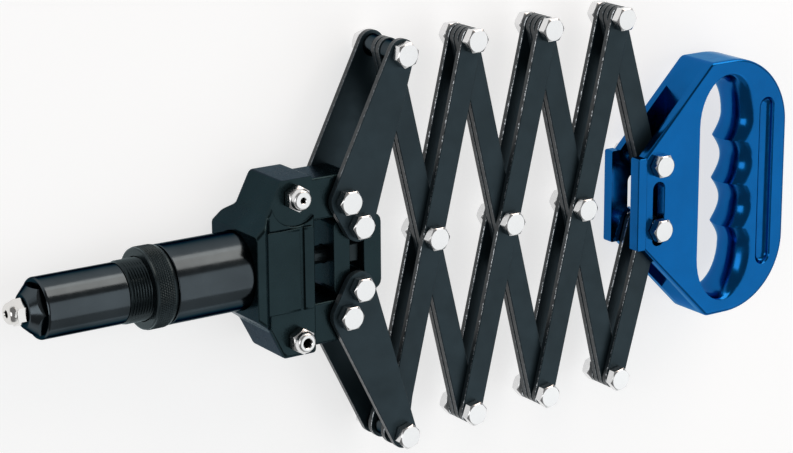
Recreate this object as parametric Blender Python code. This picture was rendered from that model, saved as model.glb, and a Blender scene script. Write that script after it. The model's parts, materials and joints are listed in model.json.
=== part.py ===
"""Lazy tong riveter, lying on its side.

X runs along the tongs from the nose to the handle, Y across them and Z along the pivot bolts.
Everything hangs on one empty, the tool frame, whose zero is the axis of the first centre bolt
in the middle plane of the tongs. The front of the tool, where the bolt heads are, faces +Z.
"""

import math

import bmesh
import bpy
from mathutils import Vector
from mathutils.geometry import tessellate_polygon

MM = 0.001
TURN = 2 * math.pi

# Clearances
seat_gap = 0.3 * MM
layer_gap = 0.4 * MM
hole_clearance = 0.3 * MM
slide_clearance = 0.4 * MM

# Tongs: flat steel links in pairs, the inner pair side by side, the outer pair around it
half_link = 88.0 * MM
link_width = 10.6 * MM
plate_thickness = 3.0 * MM
link_angle = math.radians(76.5)
cell_count = 3
last_link_reach = 19.8 * MM
slot_wall = 1.2 * MM

# Motion of the upper arm from rest, and the fold at which the linkage closes as exactly as at rest
fold_open = math.radians(-48.0)
fold_closed = math.radians(2.5)
fold_matched = math.radians(-42.0)

# Bell crank arms between the head, the tongs and the crosshead
arm_reach = 28.8 * MM
arm_tip_radius = 6.4 * MM
arm_heel_radius = 7.6 * MM
bolt_spacing = 1.55 * MM
lever_angle = math.radians(-126.1)
lever_radius = 7.3 * MM

# Hexagon bolts and nuts
bolt_radius = 3.0 * MM
hexagon_flats = 10.0 * MM
head_height = 4.3 * MM
nut_height = 5.0 * MM
thread_end = 1.5 * MM
corner_chamfer = 0.5 * MM
spacer_radius = 5.0 * MM

# Head casting, measured forward from the arm pivots
block_back = 16.5 * MM
block_top_length = 15.5 * MM
block_neck = 39.0 * MM
collar_front = 47.7 * MM
block_outward = 13.5 * MM
block_neck_height = 25.5 * MM
block_half_depth = 14.0 * MM
collar_length = 4.5 * MM
collar_wall_top = 1.6 * MM
collar_wall_side = 2.0 * MM
casting_edge = 2.2 * MM
leg_width = 18.8 * MM
leg_outward = 2.1 * MM
leg_end = 8.0 * MM
leg_corner = 5.0 * MM
label_half_height = 18.2 * MM
label_depth = 1.3 * MM
label_length = 23.5 * MM
label_groove_width = 2.0 * MM
label_groove_depth = 1.0 * MM
label_groove_back = 5.0 * MM
pocket_radius = 12.4 * MM
pocket_depth = 1.6 * MM
spare_forward = 25.2 * MM
spare_outward = 5.5 * MM

# Barrel, lock ring, threaded sleeve and nose, all turned about X
barrel_wall = 3.2 * MM
barrel_length = 39.7 * MM
barrel_seat_depth = 4.2 * MM
draw_bore_radius = 12.5 * MM
ring_proud = 0.5 * MM
ring_length = 10.0 * MM
ring_chamfer = 1.2 * MM
sleeve_radius = 13.4 * MM
sleeve_shown = 10.0 * MM
sleeve_hidden = 18.0 * MM
nose_radius = 12.9 * MM
nose_length = 36.2 * MM
nose_cone_length = 6.2 * MM
nose_tip_radius = 7.1 * MM
nose_wall = 2.8 * MM
nose_spigot = 12.0 * MM
nose_flats = 19.6 * MM
nose_flats_step = 0.5 * MM
nose_thread_length = 9.0 * MM

# Nosepieces
nosepiece_hexagon = 10.0 * MM
nosepiece_hex_length = 4.2 * MM
nosepiece_face_radius = 3.7 * MM
nosepiece_dome = 2.6 * MM
nosepiece_stub_radius = 4.0 * MM
nosepiece_stub_length = 9.0 * MM
nosepiece_bore = 1.6 * MM
spare_upper_bore = 1.25 * MM
spare_lower_bore = 2.1 * MM

# Crosshead and the draw gear that it pulls, at rest
crosshead_front = 4.6 * MM
crosshead_length = 24.0 * MM
crosshead_wall = 8.0 * MM
crosshead_window = 7.2 * MM
crosshead_past_lever = 2.75 * MM
crosshead_depth = 19.6 * MM
crosshead_corner = 4.0 * MM
window_clearance = 0.5 * MM
window_bridge = 1.0 * MM
draw_rod_radius = 4.0 * MM
draw_nut_flats = 13.0 * MM
draw_nut_length = 6.0 * MM
jaw_case_radius = 9.0 * MM
jaw_case_length = 34.0 * MM
jaw_case_wall = 2.4 * MM
jaw_travel = 10.8 * MM
jaw_length = 12.0 * MM
jaw_front_radius = 3.2 * MM
jaw_back_radius = 6.0 * MM
jaw_bore = 1.2 * MM
jaw_show = 1.5 * MM
jaw_room = 2.0 * MM
pusher_length = 7.0 * MM
pusher_radius = 5.6 * MM
spring_wire = 0.6 * MM
spring_radius = 4.6 * MM
spring_turns = 4

# Handle, measured from its own middle, which lies below the middle of its bolts
handle_drop = 2.2 * MM
handle_half_depth = 12.0 * MM
handle_back = 77.3 * MM
handle_half_height = 61.5 * MM
cheek_front = 12.9 * MM
cheek_half_height = 22.0 * MM
cheek_corner = 2.0 * MM
rim_width = 3.6 * MM
rim_height = 0.8 * MM
slope_start = 32.5 * MM
handle_corner = 34.0 * MM
fork_floor = 18.7 * MM
finger_front = 23.8 * MM
finger_back = 60.8 * MM
handle_wall = 6.0 * MM
finger_pitch = 21.2 * MM
finger_depth = 5.0 * MM
grip_bulge = 10.0 * MM
handle_edge = 1.6 * MM
slot_below_bolt = 4.7 * MM
slot_above_bolt = 19.2 * MM
groove_forward = 12.5 * MM
groove_width = 8.0 * MM
groove_half_length = 36.5 * MM
groove_depth = 3.5 * MM

# Facets
hole_sides = 12
arc_sides = 16
turned_sides = 32

# Sizes that follow from the ones above
hole_radius = bolt_radius + hole_clearance
notch_radius = bolt_radius + slide_clearance
window_half_height = draw_nut_flats / 2 / math.cos(math.pi / 6) + window_clearance
lever_length = hexagon_flats / math.cos(math.pi / 6) + bolt_spacing
arm_pivot_height = window_half_height + window_bridge + notch_radius + lever_length
block_half_height = arm_pivot_height + block_outward
spare_height = arm_pivot_height + spare_outward
barrel_radius = sleeve_radius + slide_clearance + barrel_wall
ring_radius = barrel_radius + ring_proud
collar_half_height = barrel_radius + collar_wall_top
collar_half_depth = barrel_radius + collar_wall_side
finger_half_height = handle_half_height - handle_wall

# Places that follow from the sizes above
half_rise = half_link * math.sin(link_angle)
half_step = half_link * math.cos(link_angle)
handle_spread = 15.4 * MM
last_link_angle = math.atan2(half_rise - handle_spread, last_link_reach)
last_link_length = math.hypot(half_rise - handle_spread, last_link_reach)
handle_x = (2 * cell_count - 1) * half_step + last_link_reach
arm_angle = math.atan2(half_rise - arm_pivot_height, arm_reach)
arm_length = math.hypot(half_rise - arm_pivot_height, arm_reach)
pivot_x = -half_step - arm_reach
lever_direction = arm_angle + lever_angle
lever_x = pivot_x + lever_length * math.cos(lever_direction)
lever_y = arm_pivot_height + lever_length * math.sin(lever_direction)

# Angle that the links turn for each degree of the arms
matched_rise = arm_pivot_height + arm_length * math.sin(arm_angle + fold_matched)
links_per_arm = (math.asin(matched_rise / half_link) - link_angle) / fold_matched

layer_pitch = plate_thickness + layer_gap
inner_plate = layer_gap / 2
outer_plate = inner_plate + layer_pitch
spacer_layer = outer_plate + layer_pitch
arm_plate = spacer_layer + layer_pitch
link_stack = outer_plate + plate_thickness
arm_stack = arm_plate + plate_thickness
leg_half_depth = arm_plate - layer_gap
fork_half_gap = link_stack + layer_gap

collar_x = pivot_x - collar_front
barrel_back = collar_x + barrel_seat_depth
barrel_front = barrel_back - barrel_length
ring_back = barrel_front - seat_gap
ring_front = ring_back - ring_length
nose_back = ring_front - sleeve_shown
nose_shoulder = nose_back - nose_length
nose_front = nose_shoulder - nose_cone_length
tip_x = nose_front - seat_gap - nosepiece_hex_length - nosepiece_dome
jaw_front = nose_front + nose_thread_length + jaw_room + jaw_travel + jaw_show
rest_height = arm_stack + seat_gap + nut_height + thread_end
centre_x = (tip_x + handle_x + handle_back) / 2


def upper_tip(number):
    """Axis of the upper tip bolt of one cell, counted from the arms."""
    return ((2 * number - 3) * half_step, half_rise)


def lower_tip(number):
    """Axis of the lower tip bolt of one cell, counted from the arms."""
    return ((2 * number - 3) * half_step, -half_rise)


def centre_pin(number):
    """Axis of the centre bolt of one cell."""
    return ((2 * number - 2) * half_step, 0.0)


def material(name, colour, roughness, metallic):
    made = bpy.data.materials.new(name)
    made.use_nodes = True
    shader = made.node_tree.nodes["Principled BSDF"]
    shader.inputs["Base Color"].default_value = (*colour, 1.0)
    shader.inputs["Roughness"].default_value = roughness
    shader.inputs["Metallic"].default_value = metallic
    return made


def joint_frame(name, parent, x, y):
    """An empty on a joint's axis, for the pieces that turn about it."""
    empty = bpy.data.objects.new(name, None)
    bpy.context.collection.objects.link(empty)
    empty["place"] = (x, y)
    if parent is None:
        empty.location = (-centre_x, 0.0, rest_height)
    else:
        empty.parent = parent
        empty.location = (x - parent["place"][0], y - parent["place"][1], 0.0)
    return empty


def mesh_of(shape):
    """Turns a bmesh into a mesh, with its faces pointing out and its round sides smooth."""
    bmesh.ops.recalc_face_normals(shape, faces=shape.faces)
    mesh = bpy.data.meshes.new("shape")
    shape.to_mesh(mesh)
    shape.free()
    mesh.shade_smooth()
    mesh.set_sharp_from_angle(angle=math.radians(35))
    return mesh


def place(name, mesh, look, parent, x, y, z=0.0, turn=0.0):
    """Adds one piece. x and y are in the tool frame, z is from the middle plane."""
    piece = bpy.data.objects.new(name, mesh)
    bpy.context.collection.objects.link(piece)
    piece.parent = parent
    piece.location = (x - parent["place"][0], y - parent["place"][1], z)
    piece.rotation_euler = (0.0, 0.0, turn)
    if not mesh.materials:
        mesh.materials.append(look)
    return piece


def arc(centre, radius, start, end, sides):
    """Points along an arc, both ends included."""
    points = []
    for step in range(sides + 1):
        angle = start + (end - start) * step / sides
        points.append((centre[0] + radius * math.cos(angle), centre[1] + radius * math.sin(angle)))
    return points


def circle(centre, radius, sides):
    """A round hole whose flats clear the radius."""
    return arc(centre, radius / math.cos(math.pi / sides), 0.0, TURN, sides)[:-1]


def band_round(discs):
    """Outline of a belt pulled round discs (x, y, radius), listed anticlockwise."""
    normals = []
    for index, disc in enumerate(discs):
        follower = discs[(index + 1) % len(discs)]
        run = math.hypot(follower[0] - disc[0], follower[1] - disc[1])
        heading = math.atan2(follower[1] - disc[1], follower[0] - disc[0])
        normals.append(heading - math.pi / 2 + math.asin((disc[2] - follower[2]) / run))
    points = []
    for index, disc in enumerate(discs):
        start = normals[index - 1]
        sweep = (normals[index] - start) % TURN
        sides = max(2, round(arc_sides * sweep / TURN))
        points += arc(disc[:2], disc[2], start, start + sweep, sides)
    return points


def prism(outline, holes, low, high):
    """A plate with holes, between two heights."""
    shape = bmesh.new()
    loops = [outline] + holes
    layers = []
    for height in (low, high):
        layers.append([[shape.verts.new((x, y, height)) for x, y in loop] for loop in loops])
    flat = [[Vector((x, y, 0.0)) for x, y in loop] for loop in loops]
    for layer in layers:
        corners = [vertex for loop in layer for vertex in loop]
        for triple in tessellate_polygon(flat):
            shape.faces.new([corners[index] for index in triple])
    for below, above in zip(layers[0], layers[1]):
        for index in range(len(below)):
            after = (index + 1) % len(below)
            shape.faces.new((below[index], below[after], above[after], above[index]))
    return shape


def box(low, high):
    """A block between two corners."""
    outline = [(low[0], low[1]), (high[0], low[1]), (high[0], high[1]), (low[0], high[1])]
    return prism(outline, [], low[2], high[2])


def loft(rings, closed=False):
    """Skins rings of equal count. Without closed, the end rings are filled."""
    shape = bmesh.new()
    skins = [[shape.verts.new(point) for point in ring] for ring in rings]
    pairs = list(zip(skins, skins[1:]))
    if closed:
        pairs.append((skins[-1], skins[0]))
    else:
        shape.faces.new(skins[0])
        shape.faces.new(skins[-1])
    for ring, following in pairs:
        for index in range(len(ring)):
            after = (index + 1) % len(ring)
            shape.faces.new((ring[index], ring[after], following[after], following[index]))
    return shape


def turned(profile, sides=turned_sides, closed=False):
    """Turns (x, radius) points about X. A closed profile makes a tube."""
    rings = []
    for x, radius in profile:
        ring = []
        for step in range(sides):
            angle = TURN * step / sides
            ring.append((x, radius * math.cos(angle), radius * math.sin(angle)))
        rings.append(ring)
    return loft(rings, closed)


def tube(front, back, outer, inner, sides=turned_sides):
    return turned([(front, inner), (front, outer), (back, outer), (back, inner)], sides, True)


def combine(mesh, shape, operation):
    """Cuts a shape from a mesh, or joins it on, and returns the new mesh."""
    body = bpy.data.objects.new("body", mesh)
    tool = bpy.data.objects.new("tool", mesh_of(shape))
    for item in (body, tool):
        bpy.context.collection.objects.link(item)
    boolean = body.modifiers.new("combine", "BOOLEAN")
    boolean.operation = operation
    boolean.object = tool
    boolean.solver = "EXACT"
    seen = body.evaluated_get(bpy.context.evaluated_depsgraph_get())
    result = bpy.data.meshes.new_from_object(seen)
    for item in (body, tool):
        bpy.data.objects.remove(item)
    result.materials.clear()
    result.shade_smooth()
    result.set_sharp_from_angle(angle=math.radians(35))
    return result


def hexagon_ring(z, flats):
    """Twelve points on a hexagon, at its corners and the middles of its sides."""
    points = []
    for step in range(12):
        radius = flats / 2
        if step % 2 == 0:
            radius = flats / 2 / math.cos(math.pi / 6)
        angle = TURN * step / 12
        points.append((radius * math.cos(angle), radius * math.sin(angle), z))
    return points


def round_ring(z, radius):
    points = []
    for step in range(12):
        angle = TURN * step / 12
        points.append((radius * math.cos(angle), radius * math.sin(angle), z))
    return points


def bolt_mesh(half_grip):
    """A hexagon bolt and its nut, over a stack with the given half thickness."""
    under_head = half_grip + seat_gap
    face = under_head + head_height
    nut_end = -under_head - nut_height
    chamfered = hexagon_flats / 2 * 0.96
    rings = [
        round_ring(face, chamfered),
        hexagon_ring(face - corner_chamfer, hexagon_flats),
        hexagon_ring(under_head, hexagon_flats),
        round_ring(under_head, bolt_radius),
        round_ring(-under_head, bolt_radius),
        hexagon_ring(-under_head, hexagon_flats),
        hexagon_ring(nut_end + corner_chamfer, hexagon_flats),
        round_ring(nut_end, chamfered),
        round_ring(nut_end, bolt_radius),
        round_ring(nut_end - thread_end, bolt_radius * 0.85),
    ]
    return mesh_of(loft(rings))


def spacer_mesh(low, high):
    outline = circle((0.0, 0.0), spacer_radius, arc_sides)
    return mesh_of(prism(outline, [circle((0.0, 0.0), hole_radius, hole_sides)], low, high))


def link_mesh(stations):
    """A flat link along X with a bolt hole at each station."""
    ends = [(stations[0], 0.0, link_width / 2), (stations[-1], 0.0, link_width / 2)]
    holes = [circle((station, 0.0), hole_radius, hole_sides) for station in stations]
    return mesh_of(prism(band_round(ends), holes, 0.0, plate_thickness))


def tip_error(fold):
    """How far the lower tip bolt is from the middle of the first outer link's end hole."""
    arms = arm_angle + fold
    links = link_angle + links_per_arm * fold
    arm_rise = arm_pivot_height + arm_length * math.sin(arms)
    rise = 2 * (half_link * math.sin(links) - arm_rise)
    return (rise * math.sin(links), rise * math.cos(links))


def first_outer_link_mesh():
    """The first outer link. Its lower eye is the linkage's open pivot, so it holds a slot."""
    errors = [tip_error(fold_open + (fold_closed - fold_open) * step / 40) for step in range(41)]
    along = [error[0] for error in errors]
    across = [error[1] for error in errors]
    middle = (min(across) + max(across)) / 2
    slot_radius = hole_radius + (max(across) - min(across)) / 2
    eye_radius = slot_radius + abs(middle) + slot_wall
    slot = band_round([
        (-half_link + min(along), middle, slot_radius),
        (-half_link + max(along), middle, slot_radius),
    ])
    eye = -half_link + max(along)
    neck = eye + 2 * eye_radius
    quarter = math.pi / 2
    outline = arc((half_link, 0.0), link_width / 2, -quarter, quarter, arc_sides // 2)
    outline += [(neck, link_width / 2)]
    outline += [(eye, eye_radius)]
    outline += arc((-half_link, 0.0), eye_radius, quarter, 3 * quarter, arc_sides // 2)
    outline += [(eye, -eye_radius)]
    outline += [(neck, -link_width / 2)]
    holes = [slot]
    holes += [circle((station, 0.0), hole_radius, hole_sides) for station in (0.0, half_link)]
    return mesh_of(prism(outline, holes, 0.0, plate_thickness))


def arm_mesh(side):
    """A bell crank: side is 1 for the upper arm and -1 for the lower, seen from the pivot."""
    pivot = (pivot_x, arm_pivot_height)
    tip = (upper_tip(1)[0] - pivot[0], upper_tip(1)[1] - pivot[1])
    lever = (lever_x - pivot[0], lever_y - pivot[1])
    discs = [(*lever, lever_radius), (*tip, arm_tip_radius), (0.0, 0.0, arm_heel_radius)]
    outline = band_round(discs)
    holes = [circle(centre, hole_radius, hole_sides) for centre in ((0.0, 0.0), tip, lever)]
    outline = [(x, side * y) for x, y in outline]
    holes = [[(x, side * y) for x, y in hole] for hole in holes]
    return mesh_of(prism(outline, holes, 0.0, plate_thickness))


def casting_section(x, half_height, half_depth):
    """A rectangle across X with rounded corners."""
    points = []
    for quarter, (out, up) in enumerate(((1, 1), (-1, 1), (-1, -1), (1, -1))):
        centre = (out * (half_depth - casting_edge), up * (half_height - casting_edge))
        start = math.pi / 2 * quarter
        for z, y in arc(centre, casting_edge, start, start + math.pi / 2, 2):
            points.append((x, y, z))
    return points


def leg(side):
    """One leg of the casting, which carries an arm between its two plates."""
    top = arm_pivot_height + leg_outward + leg_width / 2
    bottom = top - leg_width
    root = -block_back - 2 * casting_edge
    discs = [
        (root, bottom + leg_corner, leg_corner),
        (leg_end - leg_corner, bottom + leg_corner, leg_corner),
        (leg_end - leg_corner, top - leg_corner, leg_corner),
        (root, top - leg_corner, leg_corner),
    ]
    outline = [(x, side * y) for x, y in band_round(discs)]
    return prism(outline, [], -leg_half_depth, leg_half_depth)


def head_casting_mesh():
    """The head: a block that narrows and deepens to a collar round the barrel, with two legs."""
    shoulder = -block_back - block_top_length
    collar_back = -collar_front + collar_length
    neck_share = collar_length / (collar_front - block_neck)
    collar_top = collar_half_height + (block_neck_height - collar_half_height) * neck_share
    rings = [
        casting_section(-collar_front, collar_half_height, collar_half_depth),
        casting_section(collar_back, collar_top, collar_half_depth),
        casting_section(-block_neck, block_neck_height, block_half_depth),
        casting_section(shoulder, block_half_height, block_half_depth),
        casting_section(-block_back, block_half_height, block_half_depth),
    ]
    mesh = mesh_of(loft(rings))
    for side in (1, -1):
        mesh = combine(mesh, leg(side), "UNION")
    label_back = -block_back - casting_edge / 2
    label_top = block_half_depth + label_depth
    label = box(
        (label_back - label_length, -label_half_height, 0.0),
        (label_back, label_half_height, label_top),
    )
    mesh = combine(mesh, label, "UNION")
    groove_x = label_back - label_groove_back
    groove_end = label_half_height + label_depth
    groove = box(
        (groove_x - label_groove_width, -groove_end, label_top - label_groove_depth),
        (groove_x, groove_end, 2 * block_half_depth),
    )
    mesh = combine(mesh, groove, "DIFFERENCE")
    pocket = circle((-spare_forward, spare_height), pocket_radius, turned_sides)
    pocket_floor = block_half_depth - pocket_depth
    mesh = combine(mesh, prism(pocket, [], pocket_floor, 2 * block_half_depth), "DIFFERENCE")
    stub = nosepiece_stub_radius + hole_clearance
    for side in (1, -1):
        hole = circle((-spare_forward, side * spare_height), stub, arc_sides)
        floor = pocket_floor - nosepiece_stub_length - seat_gap
        mesh = combine(mesh, prism(hole, [], floor, 2 * block_half_depth), "DIFFERENCE")
        hole = circle((0.0, side * arm_pivot_height), hole_radius, hole_sides)
        mesh = combine(mesh, prism(hole, [], -block_half_depth, block_half_depth), "DIFFERENCE")
    seat = -collar_front + barrel_seat_depth + seat_gap
    bores = [
        (-collar_front - collar_length, barrel_radius + seat_gap),
        (seat, barrel_radius + seat_gap),
        (seat, draw_bore_radius),
        (0.0, draw_bore_radius),
    ]
    return combine(mesh, turned(bores), "DIFFERENCE")


def nose_housing_mesh():
    """The nose: a tube with a rear spigot and a coned front, which is cut to a hexagon."""
    bore = nose_radius - nose_wall
    thread = nosepiece_stub_radius + hole_clearance
    floor = nose_front + nose_thread_length
    spigot_radius = sleeve_radius - nose_wall
    profile = [
        (nose_front, thread),
        (nose_front, nose_tip_radius),
        (nose_shoulder, nose_radius),
        (nose_back - seat_gap, nose_radius),
        (nose_back - seat_gap, spigot_radius),
        (nose_back + nose_spigot, spigot_radius),
        (nose_back + nose_spigot, bore),
        (floor, bore),
        (floor, thread),
    ]
    mesh = mesh_of(turned(profile, turned_sides, True))
    for step in range(6):
        angle = TURN * step / 6
        low = nose_front - seat_gap
        high = nose_shoulder - nose_flats_step
        reach = nose_radius
        points = []
        for x in (low, high):
            ring = []
            for across, out in ((-1, 0), (1, 0), (1, 1), (-1, 1)):
                radial = nose_flats / 2 + out * reach
                side = across * reach
                y = radial * math.cos(angle) - side * math.sin(angle)
                z = radial * math.sin(angle) + side * math.cos(angle)
                ring.append((x, y, z))
            points.append(ring)
        mesh = combine(mesh, loft(points), "DIFFERENCE")
    return mesh


def nosepiece_mesh(bore, back):
    """A nosepiece along X, its face at the front, its hexagon against the given back."""
    shoulder = back - nosepiece_hex_length
    stages = [
        (back + nosepiece_stub_length, bore, 0),
        (shoulder - nosepiece_dome, bore, 0),
        (shoulder - nosepiece_dome, nosepiece_face_radius, 0),
        (shoulder, nosepiece_hexagon / 2 * 0.96, 0),
        (shoulder + corner_chamfer, nosepiece_hexagon, 1),
        (back, nosepiece_hexagon, 1),
        (back, nosepiece_stub_radius, 0),
        (back + nosepiece_stub_length, nosepiece_stub_radius, 0),
    ]
    rings = []
    for x, size, hexagonal in stages:
        ring = hexagon_ring(0.0, size) if hexagonal else round_ring(0.0, size)
        rings.append([(x, y, z) for y, z, _ in ring])
    return mesh_of(loft(rings, True))


def crosshead_mesh():
    """A block with a window for the draw nut and a notch on each side for a lever bolt."""
    front = pivot_x - crosshead_front - lever_x
    back = front + crosshead_length
    half = max(lever_heights()) + crosshead_past_lever
    corner = crosshead_corner
    outline = band_round([
        (front + corner, -half + corner, corner),
        (back - corner, -half + corner, corner),
        (back - corner, half - corner, corner),
        (front + corner, half - corner, corner),
    ])
    half_depth = crosshead_depth / 2
    window_front = front + crosshead_wall
    window = [
        (window_front, -window_half_height),
        (window_front + crosshead_window, -window_half_height),
        (window_front + crosshead_window, window_half_height),
        (window_front, window_half_height),
    ]
    mesh = mesh_of(prism(outline, [window], -half_depth, half_depth))
    lowest = min(lever_heights())
    for side in (1, -1):
        discs = [(0.0, lowest, notch_radius), (0.0, 2 * half, notch_radius)]
        notch = [(x, side * y) for x, y in band_round(discs)]
        mesh = combine(mesh, prism(notch, [], -crosshead_depth, crosshead_depth), "DIFFERENCE")
    rod_hole = [
        (front - crosshead_wall, draw_rod_radius + seat_gap),
        (window_front + seat_gap, draw_rod_radius + seat_gap),
    ]
    return combine(mesh, turned(rod_hole, arc_sides), "DIFFERENCE")


def lever_heights():
    """Heights of a lever bolt above the tool's axis over the whole fold."""
    heights = []
    for step in range(41):
        fold = fold_open + (fold_closed - fold_open) * step / 40
        heights.append(arm_pivot_height + lever_length * math.sin(lever_direction + fold))
    return heights


def jaw_case_mesh():
    """A cup with a coned mouth that closes the jaws when it is drawn back."""
    front = 0.0
    back = jaw_case_length
    mouth = jaw_front_radius + 2 * seat_gap
    throat = jaw_back_radius + 2 * seat_gap
    pocket = jaw_case_radius - jaw_case_wall
    thread = draw_rod_radius + hole_clearance
    floor = back - 2 * jaw_case_wall
    profile = [
        (front, mouth),
        (front, jaw_case_radius - jaw_case_wall / 2),
        (front + jaw_case_wall / 2, jaw_case_radius),
        (back, jaw_case_radius),
        (back, thread),
        (floor, thread),
        (floor, pocket),
        (front + jaw_length, pocket),
        (front + jaw_length - seat_gap, throat),
    ]
    return mesh_of(turned(profile, turned_sides, True))


def jaw_mesh(side):
    """Half of a split cone with a bore for the mandrel."""
    rings = []
    for x, radius in ((-jaw_show, jaw_front_radius), (jaw_length - jaw_show, jaw_back_radius)):
        ring = arc((0.0, 0.0), radius - seat_gap, 0.0, math.pi, 8)
        ring += list(reversed(arc((0.0, 0.0), jaw_bore, 0.0, math.pi, 6)))
        rings.append([(x, y, side * (z + seat_gap)) for y, z in ring])
    return mesh_of(loft(rings))


def spring_mesh(length):
    """A coil about X, ground to a given length."""
    rings = []
    steps = spring_turns * 12
    run = length - 2 * spring_wire
    for step in range(steps + 1):
        angle = TURN * spring_turns * step / steps
        x = spring_wire + run * step / steps
        ring = []
        for side in range(6):
            round_angle = TURN * side / 6
            radius = spring_radius + spring_wire * math.cos(round_angle)
            height = x + spring_wire * math.sin(round_angle)
            ring.append((height, radius * math.cos(angle), radius * math.sin(angle)))
        rings.append(ring)
    return mesh_of(loft(rings))


def handle_outline():
    """The handle seen from the front: a narrow cheek, two slopes and a round back."""
    back_centre = handle_back - handle_corner
    corner_height = handle_half_height - handle_corner
    cheek_x = -cheek_front + rim_width + cheek_corner
    slope_height = handle_half_height - 2 * cheek_corner
    return band_round([
        (cheek_x, -cheek_half_height + cheek_corner, cheek_corner),
        (slope_start, -slope_height, 2 * cheek_corner),
        (back_centre, -corner_height, handle_corner),
        (back_centre, corner_height, handle_corner),
        (slope_start, slope_height, 2 * cheek_corner),
        (cheek_x, cheek_half_height - cheek_corner, cheek_corner),
    ])


def finger_hole_ring(z, swell):
    """Outline of the finger hole at one height, where the grip swells into it by a share."""
    back = finger_back - grip_bulge * swell
    top = finger_half_height - grip_bulge / 3 * swell
    bend = 1.5 * finger_pitch
    middle = (finger_front + back) / 2
    half_width = back - middle
    points = []
    for step in range(10):
        angle = math.pi * (1 - step / 10)
        points.append((middle + half_width * math.cos(angle), bend + (top - bend) * math.sin(angle)))
    for step in range(25):
        y = bend * (1 - step / 12)
        scallop = 1 - abs(math.sin(math.pi * y / finger_pitch))
        points.append((back - finger_depth * scallop, y))
    for step in range(1, 11):
        angle = -math.pi * step / 10
        points.append((middle + half_width * math.cos(angle), (top - bend) * math.sin(angle) - bend))
    return [(x, y, z) for x, y in points]


def handle_mesh():
    """A cast D handle: fork for the last links at the front, finger grip at the back."""
    shape = prism(handle_outline(), [], -handle_half_depth, handle_half_depth)
    bmesh.ops.recalc_face_normals(shape, faces=shape.faces)
    rim = [edge for edge in shape.edges if edge.calc_face_angle(0.0) > math.radians(80)]
    bmesh.ops.bevel(shape, geom=rim, offset=handle_edge, segments=2, profile=0.5, affect="EDGES")
    mesh = mesh_of(shape)
    rim_depth = handle_half_depth + rim_height
    rim_back = rim_width + handle_edge - cheek_front
    rim_block = box(
        (-cheek_front, -cheek_half_height, -rim_depth),
        (rim_back, cheek_half_height, rim_depth),
    )
    mesh = combine(mesh, rim_block, "UNION")
    rings = [finger_hole_ring(-2 * handle_half_depth, 0.0)]
    for step in range(-4, 5):
        angle = math.pi / 2 * step / 4
        rings.append(finger_hole_ring(handle_half_depth * math.sin(angle), math.cos(angle)))
    rings.append(finger_hole_ring(2 * handle_half_depth, 0.0))
    mesh = combine(mesh, loft(rings), "DIFFERENCE")
    reach = handle_half_height
    fork = box((-reach, -reach, -fork_half_gap), (fork_floor, reach, fork_half_gap))
    mesh = combine(mesh, fork, "DIFFERENCE")
    through = 2 * handle_half_depth
    bolt_hole = circle((0.0, handle_drop + handle_spread), hole_radius, hole_sides)
    mesh = combine(mesh, prism(bolt_hole, [], -through, through), "DIFFERENCE")
    slot_bolt = handle_drop - handle_spread
    slot = band_round([
        (0.0, slot_bolt - slot_below_bolt, hole_radius),
        (0.0, slot_bolt + slot_above_bolt, hole_radius),
    ])
    mesh = combine(mesh, prism(slot, [], -through, through), "DIFFERENCE")
    groove_x = handle_back - groove_forward
    groove = band_round([
        (groove_x, -groove_half_length, groove_width / 2),
        (groove_x, groove_half_length, groove_width / 2),
    ])
    floor = handle_half_depth - groove_depth
    for low, high in ((floor, through), (-through, -floor)):
        mesh = combine(mesh, prism(groove, [], low, high), "DIFFERENCE")
    return mesh


def build_head(frame, looks):
    """The fixed pieces: casting, barrel, sleeve, nose and nosepieces."""
    place("head_casting", head_casting_mesh(), looks["casting"], frame, pivot_x, 0.0)
    bore = barrel_radius - barrel_wall
    barrel = mesh_of(tube(0.0, barrel_length, barrel_radius, bore))
    place("main_barrel", barrel, looks["gloss black"], frame, barrel_front, 0.0)
    sleeve_back = barrel_front + sleeve_hidden
    inner = sleeve_radius - nose_wall + seat_gap
    sleeve = mesh_of(tube(0.0, sleeve_back - nose_back, sleeve_radius, inner))
    place("threaded_sleeve", sleeve, looks["gloss black"], frame, nose_back, 0.0)
    place("nose_housing", nose_housing_mesh(), looks["gloss black"], frame, 0.0, 0.0)
    fitted = nosepiece_mesh(nosepiece_bore, 0.0)
    place("nosepiece", fitted, looks["zinc"], frame, nose_front - seat_gap, 0.0)
    pocket_floor = block_half_depth - pocket_depth
    for name, spare, side, seat in (
        ("spare_nosepiece_upper", spare_upper_bore, 1, pocket_floor),
        ("spare_nosepiece_lower", spare_lower_bore, -1, block_half_depth),
    ):
        mesh = nosepiece_mesh(spare, 0.0)
        piece = place(name, mesh, looks["zinc"], frame, pivot_x - spare_forward, side * spare_height)
        piece.location.z = seat + seat_gap
        piece.rotation_euler = (0.0, math.pi / 2, 0.0)
    for name, side in (("arm_pivot_bolt_upper", 1), ("arm_pivot_bolt_lower", -1)):
        mesh = bolt_mesh(arm_stack)
        place(name, mesh, looks["zinc"], frame, pivot_x, side * arm_pivot_height)


def build_ring(frame, looks):
    """The knurled ring that locks the threaded sleeve."""
    ring_frame = joint_frame("lock ring axis", frame, ring_front, 0.0)
    bore = sleeve_radius + slide_clearance
    profile = [
        (0.0, bore),
        (0.0, ring_radius - ring_chamfer / 2),
        (ring_chamfer / 2, ring_radius),
        (ring_length - ring_chamfer, ring_radius),
        (ring_length, ring_radius - ring_chamfer),
        (ring_length, bore),
    ]
    mesh = mesh_of(turned(profile, turned_sides, True))
    place("lock_ring", mesh, looks["satin black"], ring_frame, ring_front, 0.0)


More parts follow.
